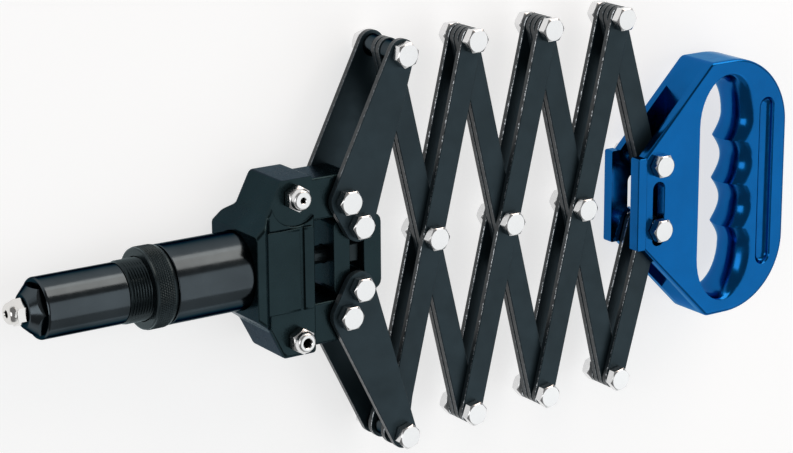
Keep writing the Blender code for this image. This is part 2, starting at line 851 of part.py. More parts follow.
def build_arm(name, side, frame, looks):
    """One bell crank: two plates, its tip bolt and its lever bolt."""
    pivot = (pivot_x, side * arm_pivot_height)
    axis = joint_frame(name + " axis", frame, *pivot)
    mesh = arm_mesh(side)
    place(name + "_front", mesh, looks["plate"], axis, *pivot, arm_plate)
    place(name + "_rear", mesh, looks["plate"], axis, *pivot, -arm_plate - plate_thickness)
    bolt = bolt_mesh(arm_stack)
    tip = (upper_tip(1)[0], side * half_rise)
    place(name + "_tip_bolt", bolt, looks["zinc"], axis, *tip, 0.0, math.radians(15))
    place(name + "_lever_bolt", bolt, looks["zinc"], axis, lever_x, side * lever_y)
    return axis


def build_tip_spacers(upper, lower, looks):
    """Bushes that keep the arms apart at the tips of the first links."""
    long_bush = spacer_mesh(outer_plate, arm_plate - layer_gap)
    x, y = upper_tip(1)
    place("upper_tip_bush_front", long_bush, looks["gloss black"], upper, x, y)
    rear = place("upper_tip_bush_rear", long_bush, looks["gloss black"], upper, x, y)
    rear.rotation_euler = (math.pi, 0.0, 0.0)
    short_bush = spacer_mesh(spacer_layer, arm_plate - layer_gap)
    x, y = lower_tip(1)
    place("lower_tip_bush_front", short_bush, looks["gloss black"], lower, x, y)
    rear = place("lower_tip_bush_rear", short_bush, looks["gloss black"], lower, x, y)
    rear.rotation_euler = (math.pi, 0.0, 0.0)
    middle_bush = spacer_mesh(-outer_plate + layer_gap, outer_plate - layer_gap)
    place("lower_tip_bush_middle", middle_bush, looks["gloss black"], lower, x, y)


def build_draw_gear(frame, looks):
    """The crosshead and what it draws back: rod, jaw case, jaws, pusher and spring."""
    axis = joint_frame("crosshead slide", frame, lever_x, 0.0)
    place("crosshead", crosshead_mesh(), looks["casting"], axis, lever_x, 0.0)
    window_front = pivot_x - crosshead_front + crosshead_wall
    case_back = jaw_front + jaw_case_length
    rod_front = case_back - 2 * jaw_case_wall + seat_gap
    nut_front = window_front + seat_gap
    rod_end = nut_front + draw_nut_length
    rod = mesh_of(turned([(0.0, draw_rod_radius), (rod_end - rod_front, draw_rod_radius)], arc_sides))
    place("draw_rod", rod, looks["satin black"], axis, rod_front, 0.0)
    stages = []
    for x, ring in (
        (0.0, round_ring(0.0, draw_rod_radius + hole_clearance)),
        (0.0, hexagon_ring(0.0, draw_nut_flats)),
        (draw_nut_length, hexagon_ring(0.0, draw_nut_flats)),
        (draw_nut_length, round_ring(0.0, draw_rod_radius + hole_clearance)),
    ):
        stages.append([(x, y, z) for y, z, _ in ring])
    place("draw_nut", mesh_of(loft(stages, True)), looks["satin black"], axis, nut_front, 0.0)
    place("jaw_case", jaw_case_mesh(), looks["satin black"], axis, jaw_front, 0.0)
    for name, side in (("jaw_upper", 1), ("jaw_lower", -1)):
        place(name, jaw_mesh(side), looks["satin black"], axis, jaw_front, 0.0)
    pusher_front = jaw_front + jaw_length - jaw_show + seat_gap
    pusher = tube(0.0, pusher_length, pusher_radius, jaw_bore + seat_gap, arc_sides)
    place("jaw_pusher", mesh_of(pusher), looks["satin black"], axis, pusher_front, 0.0)
    spring_front = pusher_front + pusher_length + seat_gap
    spring_room = rod_front - seat_gap - spring_front
    place("jaw_spring", spring_mesh(spring_room), looks["zinc"], axis, spring_front, 0.0)


def build_links(number, axis, point, kind, mesh, angle, looks):
    """A front and a rear link of one pair, on an axis of their own."""
    pair_axis = joint_frame(kind + " link " + str(number) + " axis", axis, *point)
    level = inner_plate if kind == "inner" else outer_plate
    x, y = centre_pin(number) if number <= cell_count else point
    for face, z in (("front", level), ("rear", -level - plate_thickness)):
        name = kind + "_link_" + str(number) + "_" + face
        place(name, mesh, looks["plate"], pair_axis, x, y, z, angle)
    return pair_axis


def build_tongs(upper_arm, looks):
    """Three crossed cells and the last links, each pair on the joint that carries it."""
    full = link_mesh((-half_link, 0.0, half_link))
    first_outer = first_outer_link_mesh()
    last = link_mesh((0.0, last_link_length))
    bolt = bolt_mesh(link_stack)
    carrier = upper_arm
    for number in range(1, cell_count + 1):
        inner = build_links(number, carrier, upper_tip(number), "inner", full, -link_angle, looks)
        place("centre_bolt_" + str(number), bolt, looks["zinc"], inner, *centre_pin(number))
        name = "lower_bolt_" + str(number + 1)
        place(name, bolt, looks["zinc"], inner, *lower_tip(number + 1), 0.0, math.radians(10))
        mesh = first_outer if number == 1 else full
        outer = build_links(number, inner, centre_pin(number), "outer", mesh, link_angle, looks)
        place("upper_bolt_" + str(number + 1), bolt, looks["zinc"], outer, *upper_tip(number + 1))
        carrier = outer
    number = cell_count + 1
    tip = upper_tip(number)
    last_inner = build_links(number, outer, tip, "inner", last, -last_link_angle, looks)
    tip = lower_tip(number)
    last_outer = build_links(number, inner, tip, "outer", last, last_link_angle, looks)
    grip = bolt_mesh(handle_half_depth)
    place("handle_bolt_lower", grip, looks["zinc"], last_outer, handle_x, -handle_spread)
    bush = spacer_mesh(-outer_plate + layer_gap, outer_plate - layer_gap)
    place("handle_bush", bush, looks["zinc"], last_outer, handle_x, -handle_spread)
    return last_inner


def build_handle(last_inner, looks):
    """The handle and the bolt that holds it on the last inner links."""
    axis = joint_frame("handle axis", last_inner, handle_x, handle_spread)
    place("handle", handle_mesh(), looks["blue"], axis, handle_x, -handle_drop)
    grip = bolt_mesh(handle_half_depth)
    place("handle_bolt_upper", grip, looks["zinc"], axis, handle_x, handle_spread)


def main():
    for item in list(bpy.data.objects):
        bpy.data.objects.remove(item)
    looks = {
        "plate": material("black plate", (0.035, 0.05, 0.055), 0.45, 0.3),
        "casting": material("black casting", (0.03, 0.042, 0.048), 0.5, 0.2),
        "gloss black": material("gloss black", (0.015, 0.018, 0.02), 0.2, 0.4),
        "satin black": material("satin black", (0.03, 0.035, 0.038), 0.4, 0.5),
        "zinc": material("bright zinc", (0.75, 0.75, 0.76), 0.25, 1.0),
        "blue": material("blue enamel", (0.0, 0.1, 0.35), 0.25, 0.3),
    }
    frame = joint_frame("tool frame", None, 0.0, 0.0)
    build_head(frame, looks)
    build_ring(frame, looks)
    upper = build_arm("upper_arm", 1, frame, looks)
    lower = build_arm("lower_arm", -1, frame, looks)
    build_tip_spacers(upper, lower, looks)
    build_draw_gear(frame, looks)
    last_inner = build_tongs(upper, looks)
    build_handle(last_inner, looks)


main()
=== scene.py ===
"""Lazy tong riveter: the finished look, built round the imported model.

Sizes are in metres. The tool frame has its zero on the axis of the first centre bolt, in the
middle plane of the tongs: X runs from the nose to the handle and Z along the bolts.
"""

import json
import math

import bmesh
import bpy
from mathutils import Matrix, Vector
from mathutils.geometry import tessellate_polygon

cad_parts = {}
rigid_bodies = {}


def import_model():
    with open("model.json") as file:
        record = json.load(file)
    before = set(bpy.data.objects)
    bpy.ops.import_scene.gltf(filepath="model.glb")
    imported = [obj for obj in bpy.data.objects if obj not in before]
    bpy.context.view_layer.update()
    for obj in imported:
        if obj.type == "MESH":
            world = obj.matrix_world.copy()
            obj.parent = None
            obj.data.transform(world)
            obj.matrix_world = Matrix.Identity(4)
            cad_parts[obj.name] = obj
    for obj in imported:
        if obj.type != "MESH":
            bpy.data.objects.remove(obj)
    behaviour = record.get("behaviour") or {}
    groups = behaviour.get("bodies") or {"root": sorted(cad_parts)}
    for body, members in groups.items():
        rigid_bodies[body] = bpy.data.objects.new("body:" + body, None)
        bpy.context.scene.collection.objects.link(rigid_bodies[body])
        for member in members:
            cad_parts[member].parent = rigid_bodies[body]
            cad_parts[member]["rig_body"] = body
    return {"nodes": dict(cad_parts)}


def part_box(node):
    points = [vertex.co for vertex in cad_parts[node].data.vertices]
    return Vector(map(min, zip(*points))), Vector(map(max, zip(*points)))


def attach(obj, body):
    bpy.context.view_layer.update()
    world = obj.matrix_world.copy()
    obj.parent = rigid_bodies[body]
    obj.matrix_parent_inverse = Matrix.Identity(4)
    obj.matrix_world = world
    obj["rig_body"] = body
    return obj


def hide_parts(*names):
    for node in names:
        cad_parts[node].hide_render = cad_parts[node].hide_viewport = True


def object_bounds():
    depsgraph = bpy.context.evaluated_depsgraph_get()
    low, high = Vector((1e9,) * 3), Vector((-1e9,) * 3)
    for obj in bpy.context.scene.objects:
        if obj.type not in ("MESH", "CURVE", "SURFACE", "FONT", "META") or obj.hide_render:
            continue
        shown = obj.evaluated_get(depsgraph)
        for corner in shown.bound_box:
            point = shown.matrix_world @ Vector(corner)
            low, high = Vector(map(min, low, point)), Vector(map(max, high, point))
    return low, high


MM = 0.001
TURN = 2 * math.pi
TINY = 0.001 * MM

# Photograph, with the camera's place in the tool frame
IMAGE_WIDTH = 793
FOCAL_PIXELS = 2535.0
SENSOR_WIDTH = 36.0
CAMERA_PLACE = (-604.5 * MM, 309.2 * MM, 886.0 * MM)
CAMERA_BACK = (-0.5325, 0.2743, 0.8008)
CAMERA_RIGHT = (0.8328, 0.0, 0.5537)
CAMERA_ROLL = math.radians(-0.40)

# Links and arms
HALF_LINK = 88.0 * MM
LINK_WIDTH = 10.6 * MM
PLATE = 3.0 * MM
PLATE_EDGE = 0.3 * MM
PLATE_CORNER_STEPS = 16
LINK_ANGLE = math.radians(76.5)
CELL_COUNT = 3
LAST_LINK_REACH = 19.8 * MM
HANDLE_SPREAD = 15.4 * MM
HOLE_RADIUS = 3.3 * MM
ARM_REACH = 28.8 * MM
ARM_PIVOT_HEIGHT = 25.5 * MM
ARM_TIP_RADIUS = 6.4 * MM
ARM_HEEL_RADIUS = 7.6 * MM
LEVER_LENGTH = 13.1 * MM
LEVER_TURN = math.radians(-126.1)
LEVER_RADIUS = 7.3 * MM
EYE_RADIUS = 6.4 * MM
EYE_FRONT = 2.7 * MM

# Bolts
BOLT_RADIUS = 3.0 * MM
HEXAGON_FLATS = 10.0 * MM
HEAD_HEIGHT = 4.3 * MM
NUT_HEIGHT = 5.0 * MM
THREAD_END = 1.5 * MM
THREAD_END_EDGE = 0.5 * MM
BOLT_PITCH = 0.75 * MM
BOLT_THREAD_DEPTH = 0.35 * MM
HEAD_CENTRE = 3.0 * MM
HEAD_EDGE = 0.15 * MM
CROWN_SHARE = 0.94
CROWN_EDGE = 0.12 * MM
CHAMFER_ANGLE = math.radians(30)
NUT_COUNTERSINK = 0.45 * MM
TIP_BOLT_TURN = math.radians(15)
LOWER_BOLT_TURN = math.radians(10)
SPACER_RADIUS = 5.0 * MM
BUSH_EDGE = 0.3 * MM

# Head casting, from the arm pivots
BLOCK_BACK = 16.5 * MM
BLOCK_TOP_LENGTH = 15.5 * MM
BLOCK_NECK = 39.0 * MM
COLLAR_FRONT = 47.7 * MM
COLLAR_LENGTH = 4.5 * MM
BLOCK_HALF_HEIGHT = 39.0 * MM
BLOCK_NECK_HEIGHT = 25.5 * MM
COLLAR_HALF_HEIGHT = 18.6 * MM
BLOCK_HALF_DEPTH = 14.0 * MM
COLLAR_HALF_DEPTH = 19.0 * MM
CASTING_EDGE = 2.2 * MM
COLLAR_EDGE = 0.4 * MM
BLOCK_CREASE = 1.0 * MM
LEG_WIDTH = 18.8 * MM
LEG_CENTRE = 27.6 * MM
LEG_END = 8.0 * MM
LEG_CORNER = 5.0 * MM
LEG_HALF_DEPTH = 10.0 * MM
LEG_EDGE = 1.2 * MM
LABEL_HALF_HEIGHT = 18.2 * MM
LABEL_DEPTH = 1.3 * MM
LABEL_ROOT = 5.0 * MM
LABEL_CORNER = 1.2 * MM
LABEL_EDGE = 0.5 * MM
LABEL_LENGTH = 23.5 * MM
LABEL_GROOVE_WIDTH = 2.0 * MM
LABEL_GROOVE_DEPTH = 1.0 * MM
LABEL_GROOVE_BACK = 5.0 * MM
LABEL_GROOVE_FLARE = 0.3 * MM
POCKET_RADIUS = 12.4 * MM
POCKET_DEPTH = 1.6 * MM
POCKET_FLARE = 0.5 * MM
SPARE_FORWARD = 25.2 * MM
SPARE_HEIGHT = 31.0 * MM
DRAW_BORE = 12.5 * MM
BARREL_SEAT = 4.2 * MM

# Turned pieces, and the room between them and their seats
FIT = 0.3 * MM
TURNED_EDGE = 0.5 * MM
BARREL_RADIUS = 17.0 * MM
BARREL_BORE = 13.8 * MM
SLEEVE_RADIUS = 13.4 * MM
SLEEVE_BORE = 10.9 * MM
THREAD_PITCH = 1.25 * MM
THREAD_DEPTH = 0.7 * MM
THREAD_SHAPE = 1.2
THREAD_STEPS = 10
THREAD_UNDER_RING = 3.0 * MM
RING_RADIUS = 17.5 * MM
RING_BORE = 13.8 * MM
RING_FRONT_CORNER = 0.9 * MM
RING_FRONT_EDGE = 0.3 * MM
RING_FRONT_BAND = 0.35 * MM
RING_BACK_BAND = 0.3 * MM
RING_BACK_CHAMFER = 1.2 * MM
KNURL_WIDTH = 6.6 * MM
KNURL_START = 1.3 * MM
KNURL_PITCH = 1.15 * MM
KNURL_DEPTH = 0.45 * MM
KNURL_STEPS = 6
KNURL_LEAN = 0.58
KNURL_STEEPNESS = 1.6
KNURL_RUN_IN = 0.2 * MM
KNURL_RUN_OUT = 0.15 * MM
NOSE_RADIUS = 12.9 * MM
NOSE_TIP_RADIUS = 7.1 * MM
NOSE_CONE = 6.2 * MM
NOSE_FLATS = 19.6 * MM
NOSE_FLATS_STEP = 0.5 * MM
NOSE_THREAD = 9.0 * MM
NOSE_WALL = 2.8 * MM
STUB_RADIUS = 4.0 * MM
STUB_LENGTH = 9.0 * MM
STUB_EDGE = 0.5 * MM
NOSEPIECE_HEX_LENGTH = 4.2 * MM
NOSEPIECE_HEX_EDGE = 0.2 * MM
NOSEPIECE_CROWN = 3.2 * MM
NOSEPIECE_DOME = 2.6 * MM
NOSEPIECE_DOME_RADIUS = 4.7 * MM
NOSEPIECE_BORE = 1.6 * MM
NOSEPIECE_BORE_EDGE = 0.3 * MM
SPARE_UPPER_BORE = 1.25 * MM
SPARE_LOWER_BORE = 2.1 * MM

# Handle, from its own middle, which lies below the middle of its bolts
HANDLE_DROP = 2.2 * MM
HANDLE_HALF_DEPTH = 12.0 * MM
HANDLE_BACK = 77.3 * MM
HANDLE_HALF_HEIGHT = 61.5 * MM
CHEEK_FRONT = 12.9 * MM
CHEEK_HALF_HEIGHT = 22.0 * MM
CHEEK_CORNER = 2.0 * MM
RIM_WIDTH = 3.6 * MM
RIM_HEIGHT = 0.8 * MM
RIM_CORNER = 1.0 * MM
RIM_EDGE = 0.5 * MM
SLOPE_START = 32.5 * MM
HANDLE_CORNER = 34.0 * MM
FORK_FLOOR = 18.7 * MM
FORK_HALF_GAP = 7.0 * MM
FINGER_FRONT = 23.8 * MM
FINGER_BACK = 60.8 * MM
FINGER_HALF_HEIGHT = 55.5 * MM
FINGER_PITCH = 21.2 * MM
FINGER_DEPTH = 5.0 * MM
GRIP_BULGE = 10.0 * MM
HANDLE_EDGE = 1.6 * MM
HANDLE_EDGE_STEPS = 4
HANDLE_SIDE_STEPS = 12
HANDLE_SHARP = 45.0
FINGER_END_STEPS = 20
FINGER_GRIP_STEPS = 36
SLOT_BELOW = 4.7 * MM
SLOT_ABOVE = 19.2 * MM
SLOT_FLARE = 0.5 * MM
GROOVE_FORWARD = 12.5 * MM
GROOVE_WIDTH = 8.0 * MM
GROOVE_HALF_LENGTH = 36.5 * MM
GROOVE_DEPTH = 3.5 * MM
GROOVE_FLARE = 0.9 * MM

# Inner pieces
CROSSHEAD_EDGE = 0.7 * MM
DRAW_NUT_EDGE = 0.3 * MM

# Sides of round shapes
TURNED_SIDES = 96
DISC_SIDES = 64
CAP_SIDES = 48
BUSH_SIDES = 40
HOLE_SIDES = 32

# Light, floor and the low wall round it
FLOOR_REACH = 4.0
FLOOR_GAP = 0.2 * MM
WALL_HEIGHT = 0.9
WORLD_LIGHT = 0.18
FLOOR_COLOUR = 0.42
FLOOR_GLOW = 0.7
AIM = (0.0, 0.0, 20.0 * MM)

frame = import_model()
nodes = frame["nodes"]
cad_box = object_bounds()


def axis_of(node):
    """Centre of a node's box, seen along the bolts."""
    low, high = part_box(node)
    return Vector(((low.x + high.x) / 2, (low.y + high.y) / 2, 0.0))


plane_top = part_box("inner_link_1_front")[0].z
plane_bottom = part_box("inner_link_1_rear")[1].z
ORIGIN = axis_of("centre_bolt_1") + Vector((0.0, 0.0, (plane_top + plane_bottom) / 2))

HALF_RISE = HALF_LINK * math.sin(LINK_ANGLE)
HALF_STEP = HALF_LINK * math.cos(LINK_ANGLE)
PIVOT_X = -HALF_STEP - ARM_REACH
ARM_ANGLE = math.atan2(HALF_RISE - ARM_PIVOT_HEIGHT, ARM_REACH)
LEVER_X = LEVER_LENGTH * math.cos(ARM_ANGLE + LEVER_TURN)
LEVER_Y = LEVER_LENGTH * math.sin(ARM_ANGLE + LEVER_TURN)
LAST_TIP_X = (2 * CELL_COUNT - 1) * HALF_STEP
HANDLE_X = LAST_TIP_X + LAST_LINK_REACH
LAST_LINK_ANGLE = math.atan2(HALF_RISE - HANDLE_SPREAD, LAST_LINK_REACH)
LAST_LINK_LENGTH = math.hypot(HALF_RISE - HANDLE_SPREAD, LAST_LINK_REACH)


# Meshes


def arc(centre, radius, start, end, sides):
    """Points along an arc, both ends included."""
    points = []
    for step in range(sides + 1):
        angle = start + (end - start) * step / sides
        points.append((centre[0] + radius * math.cos(angle), centre[1] + radius * math.sin(angle)))
    return points


def circle(centre, radius, sides=HOLE_SIDES):
    """Points round a circle, starting at angle zero."""
    return arc(centre, radius, 0.0, TURN, sides)[:-1]


def ring_across_x(x, radius, sides=TURNED_SIDES):
    """A circle round the X axis."""
    return [(x, *point) for point in circle((0.0, 0.0), radius, sides)]


def band_round(discs, sides=48):
    """Outline of a belt pulled round discs (x, y, radius), listed anticlockwise."""
    normals = []
    for index, disc in enumerate(discs):
        follower = discs[(index + 1) % len(discs)]
        run = math.hypot(follower[0] - disc[0], follower[1] - disc[1])
        heading = math.atan2(follower[1] - disc[1], follower[0] - disc[0])
        normals.append(heading - math.pi / 2 + math.asin((disc[2] - follower[2]) / run))
    points = []
    for index, disc in enumerate(discs):
        start = normals[index - 1]
        sweep = (normals[index] - start) % TURN
        count = max(3, round(sides * sweep / TURN))
        points += arc(disc[:2], disc[2], start, start + sweep, count)
    return points


def layered(levels):
    """Skins stacked outlines with holes, each level a height and its loops, and caps both ends."""
    shape = bmesh.new()
    rows = []
    for height, loops in levels:
        rows.append([[shape.verts.new((x, y, height)) for x, y in loop] for loop in loops])
    for row, loops in ((rows[0], levels[0][1]), (rows[-1], levels[-1][1])):
        corners = [vertex for loop in row for vertex in loop]
        flat = [[Vector((x, y, 0.0)) for x, y in loop] for loop in loops]
        for triple in tessellate_polygon(flat):
            shape.faces.new([corners[index] for index in triple])
    for below, above in zip(rows, rows[1:]):
        for low_loop, high_loop in zip(below, above):
            for index in range(len(low_loop)):
                after = (index + 1) % len(low_loop)
                corners = (low_loop[index], low_loop[after], high_loop[after], high_loop[index])
                shape.faces.new(corners)
    return shape


def rectangle(low, high, corner, inset=0.0):
    """Outline of a rectangle with round corners, drawn in by an amount."""
    left, bottom = low[0] + corner, low[1] + corner
    right, top = high[0] - corner, high[1] - corner
    radius = corner - inset
    return band_round([
        (left, bottom, radius),
        (right, bottom, radius),
        (right, top, radius),
        (left, top, radius),
    ])


def rounded_slab(low, high, edge, loops_at, steps=3):
    """A slab whose edges are rounded. loops_at gives its loops drawn in by an amount."""
    levels = []
    for step in range(steps + 1):
        angle = math.pi / 2 * step / steps
        levels.append((low + edge * (1 - math.cos(angle)), loops_at(edge * (1 - math.sin(angle)))))
    mirrored = [(high + low - height, loops) for height, loops in reversed(levels)]
    return layered(levels + mirrored)


def loft(rings, closed=False):
    """Skins rings of equal count. Without closed, the end rings are filled."""
    shape = bmesh.new()
    skins = [[shape.verts.new(point) for point in ring] for ring in rings]
    pairs = list(zip(skins, skins[1:]))
    if closed:
        pairs.append((skins[-1], skins[0]))
    else:
        shape.faces.new(skins[0])
        shape.faces.new(skins[-1])
    for ring, following in pairs:
        for index in range(len(ring)):
            after = (index + 1) % len(ring)
            shape.faces.new((ring[index], ring[after], following[after], following[index]))
    return shape


def turned(profile, closed=True):
    """Turns (x, radius) points about X."""
    return loft([ring_across_x(x, radius) for x, radius in profile], closed)


def soften(profile, edge, steps=3):
    """Rounds the corners of a closed (x, radius) profile."""
    points = []
    for index, point in enumerate(profile):
        before = Vector(profile[index - 1])
        after = Vector(profile[(index + 1) % len(profile)])
        here = Vector(point)
        reach = min(edge, (before - here).length / 3, (after - here).length / 3)
        start = here + (before - here).normalized() * reach
        end = here + (after - here).normalized() * reach
        for step in range(steps + 1):
            share = step / steps
            points.append(tuple(start.lerp(here, share).lerp(here.lerp(end, share), share)))
    return points


def mesh_of(shape, angle=40.0, side_slot=False):
    """Turns a bmesh into a smooth shaded mesh. side_slot gives the flanks a second material."""
    bmesh.ops.recalc_face_normals(shape, faces=shape.faces)
    if side_slot:
        for face in shape.faces:
            face.material_index = 1 if abs(face.normal.z) < 0.2 else 0
    mesh = bpy.data.meshes.new("shape")
    shape.to_mesh(mesh)
    shape.free()
    mesh.shade_smooth()
    mesh.set_sharp_from_angle(angle=math.radians(angle))
    return mesh


def combine(mesh, shape, operation, angle=40.0):
    """Cuts a shape from a mesh, or joins it on, and returns the new mesh."""
    body = bpy.data.objects.new("body", mesh)
    tool = bpy.data.objects.new("tool", mesh_of(shape))
    for item in (body, tool):
        bpy.context.collection.objects.link(item)
    boolean = body.modifiers.new("combine", "BOOLEAN")
    boolean.operation = operation
    boolean.object = tool
    boolean.solver = "EXACT"
    seen = body.evaluated_get(bpy.context.evaluated_depsgraph_get())
    result = bpy.data.meshes.new_from_object(seen)
    for item in (body, tool):
        bpy.data.objects.remove(item)
    result.materials.clear()
    result.shade_smooth()
    result.set_sharp_from_angle(angle=math.radians(angle))
    return result


def hexagon_radius(angle):
    """Distance from the middle of a hexagon to its side, with a corner at angle zero."""
    return HEXAGON_FLATS / 2 / math.cos(angle % (TURN / 6) - TURN / 12)


def ring_at(z, radius_at, sides=CAP_SIDES):
    """A ring across Z whose radius depends on the angle."""
    points = []
    for step in range(sides):
        angle = TURN * step / sides
        radius = radius_at(angle)
        points.append((radius * math.cos(angle), radius * math.sin(angle), z))
    return points


def plain_ring(z, radius, sides=CAP_SIDES):
    """A circle round the Z axis."""
    return ring_at(z, lambda angle: radius, sides)


def hexagon_ring(z, inset=0.0):
    """The hexagon of a bolt head or nut, drawn in by an amount."""
    return ring_at(z, lambda angle: hexagon_radius(angle) - inset)


def hexagon_cap(face, out):
    """Rings of a chamfered hexagon end, from its flat face down. out is 1 for an upper face."""
    crown = HEXAGON_FLATS / 2 * CROWN_SHARE
    slope = math.tan(CHAMFER_ANGLE)
    rings = [plain_ring(face, crown)]
    for inward, drop in ((CROWN_EDGE, 0.0), (0.0, CROWN_EDGE)):
        ring = []
        for step in range(CAP_SIDES):
            angle = TURN * step / CAP_SIDES
            radius = hexagon_radius(angle)
            depth = max(0.0, radius - crown) * slope + drop
            reach = radius - inward
            ring.append((reach * math.cos(angle), reach * math.sin(angle), face - out * depth))
        rings.append(ring)
    return rings


def bolt_mesh(head_face, under_head, nut_face, nut_end, thread_end):
    """A hexagon bolt with its nut, along Z."""
    rings = [plain_ring(head_face, HEAD_CENTRE)]
    rings += hexagon_cap(head_face, 1)
    rings.append(hexagon_ring(under_head + HEAD_EDGE))
    rings.append(hexagon_ring(under_head, HEAD_EDGE))
    rings.append(plain_ring(under_head, BOLT_RADIUS))
    rings.append(plain_ring(nut_face, BOLT_RADIUS))
    rings += hexagon_cap(nut_face, 1)
    rings += reversed(hexagon_cap(nut_end, -1))
    rings.append(plain_ring(nut_end, BOLT_RADIUS + NUT_COUNTERSINK))
    rings.append(plain_ring(nut_end + NUT_COUNTERSINK, BOLT_RADIUS))
    turns = max(1, round((nut_end - thread_end) / BOLT_PITCH))
    pitch = (nut_end - thread_end) / (turns + 0.5)
    for step in range(2 * turns + 1):
        depth = BOLT_THREAD_DEPTH if step % 2 else 0.0
        rings.append(plain_ring(nut_end - pitch * step / 2, BOLT_RADIUS - depth))
    rings.append(plain_ring(thread_end, BOLT_RADIUS - THREAD_END_EDGE))
    return mesh_of(loft(rings), angle=30.0)


def link_loops(stations):
    """A link from the front: a straight bar with round ends and a hole at each station."""
    def loops_at(inset):
        ends = [(station, 0.0, LINK_WIDTH / 2 - inset) for station in (stations[0], stations[-1])]
        holes = [circle((station, 0.0), HOLE_RADIUS + inset) for station in stations]
        return [band_round(ends)] + holes

    return loops_at


def first_outer_loops(inset):
    """The first outer link, whose lower eye is wide for the slot that its bolt hides."""
    quarter = math.pi / 2
    steps = PLATE_CORNER_STEPS
    eye = -HALF_LINK + EYE_FRONT
    outline = arc((HALF_LINK, 0.0), LINK_WIDTH / 2 - inset, -quarter, quarter, steps)
    outline += [(eye + 2 * EYE_RADIUS, LINK_WIDTH / 2 - inset)]
    outline += [(eye, EYE_RADIUS - inset)]
    outline += arc((-HALF_LINK, 0.0), EYE_RADIUS - inset, quarter, 3 * quarter, steps)
    outline += [(eye, -EYE_RADIUS + inset)]
    outline += [(eye + 2 * EYE_RADIUS, -LINK_WIDTH / 2 + inset)]
    return [outline] + [circle((station, 0.0), HOLE_RADIUS + inset) for station in (0.0, HALF_LINK)]


def arm_loops(side):
    """An arm from the front: a belt round its pivot, its tip and its lever bolt."""
    tip = (ARM_REACH, HALF_RISE - ARM_PIVOT_HEIGHT)

    def loops_at(inset):
        discs = [
            (LEVER_X, LEVER_Y, LEVER_RADIUS - inset),
            (*tip, ARM_TIP_RADIUS - inset),
            (0.0, 0.0, ARM_HEEL_RADIUS - inset),
        ]
        loops = [band_round(discs)]
        for centre in ((0.0, 0.0), tip, (LEVER_X, LEVER_Y)):
            loops.append(circle(centre, HOLE_RADIUS + inset))
        return [[(x, side * y) for x, y in loop] for loop in loops]

    return loops_at


def plate_mesh(loops_at, flank, turn=0.0):
    """A plate with sheared flanks, turned about its own zero."""
    mesh = mesh_of(rounded_slab(0.0, PLATE, PLATE_EDGE, loops_at), angle=35.0, side_slot=True)
    mesh.transform(Matrix.Rotation(turn, 4, "Z"))
    mesh.materials.append(LOOKS["plate"])
    mesh.materials.append(LOOKS[flank])
    return mesh


# Materials


def material(name, colour, roughness, metallic=0.0, specular=0.5, coat=0.0, grain=None, tint=0.15,
             gloss=0.06, streak=(1.0, 1.0, 1.0), shine=(1.0, 1.0, 1.0)):
    """A finish with a slow change of colour and gloss, and a fine grain (scale, height)."""
    made = bpy.data.materials.new(name)
    made.use_nodes = True
    tree = made.node_tree
    shader = tree.nodes["Principled BSDF"]
    shader.inputs["Metallic"].default_value = metallic
    shader.inputs["Specular IOR Level"].default_value = specular
    shader.inputs["Specular Tint"].default_value = (*shine, 1.0)
    shader.inputs["Coat Weight"].default_value = coat
    shader.inputs["Coat Roughness"].default_value = 0.08
    place = tree.nodes.new("ShaderNodeTexCoord")
    stretch = tree.nodes.new("ShaderNodeMapping")
    stretch.inputs["Scale"].default_value = streak
    tree.links.new(place.outputs["Object"], stretch.inputs["Vector"])

    cloud = tree.nodes.new("ShaderNodeTexNoise")
    cloud.inputs["Scale"].default_value = 45.0
    cloud.inputs["Detail"].default_value = 4.0
    tree.links.new(place.outputs["Object"], cloud.inputs["Vector"])
    shades = tree.nodes.new("ShaderNodeValToRGB")
    shades.color_ramp.elements[0].position = 0.3
    shades.color_ramp.elements[1].position = 0.7
    shades.color_ramp.elements[0].color = (*[c * (1 - tint) for c in colour], 1.0)
    shades.color_ramp.elements[1].color = (*[min(1.0, c * (1 + tint)) for c in colour], 1.0)
    tree.links.new(cloud.outputs["Fac"], shades.inputs["Fac"])
    tree.links.new(shades.outputs["Color"], shader.inputs["Base Color"])

    worn = tree.nodes.new("ShaderNodeTexNoise")
    worn.inputs["Scale"].default_value = 160.0
    worn.inputs["Detail"].default_value = 5.0
    tree.links.new(stretch.outputs["Vector"], worn.inputs["Vector"])
    spread = tree.nodes.new("ShaderNodeMapRange")
    spread.inputs["From Min"].default_value = 0.3
    spread.inputs["From Max"].default_value = 0.7
    spread.inputs["To Min"].default_value = max(0.02, roughness - gloss)
    spread.inputs["To Max"].default_value = roughness + gloss
    tree.links.new(worn.outputs["Fac"], spread.inputs["Value"])
    tree.links.new(spread.outputs["Result"], shader.inputs["Roughness"])

    if grain is not None:
        fine = tree.nodes.new("ShaderNodeTexNoise")
        fine.inputs["Scale"].default_value = grain[0]
        fine.inputs["Detail"].default_value = 3.0
        tree.links.new(stretch.outputs["Vector"], fine.inputs["Vector"])
        bump = tree.nodes.new("ShaderNodeBump")
        bump.inputs["Strength"].default_value = 1.0
        bump.inputs["Distance"].default_value = grain[1]
        tree.links.new(fine.outputs["Fac"], bump.inputs["Height"])
        tree.links.new(bump.outputs["Normal"], shader.inputs["Normal"])
    return made


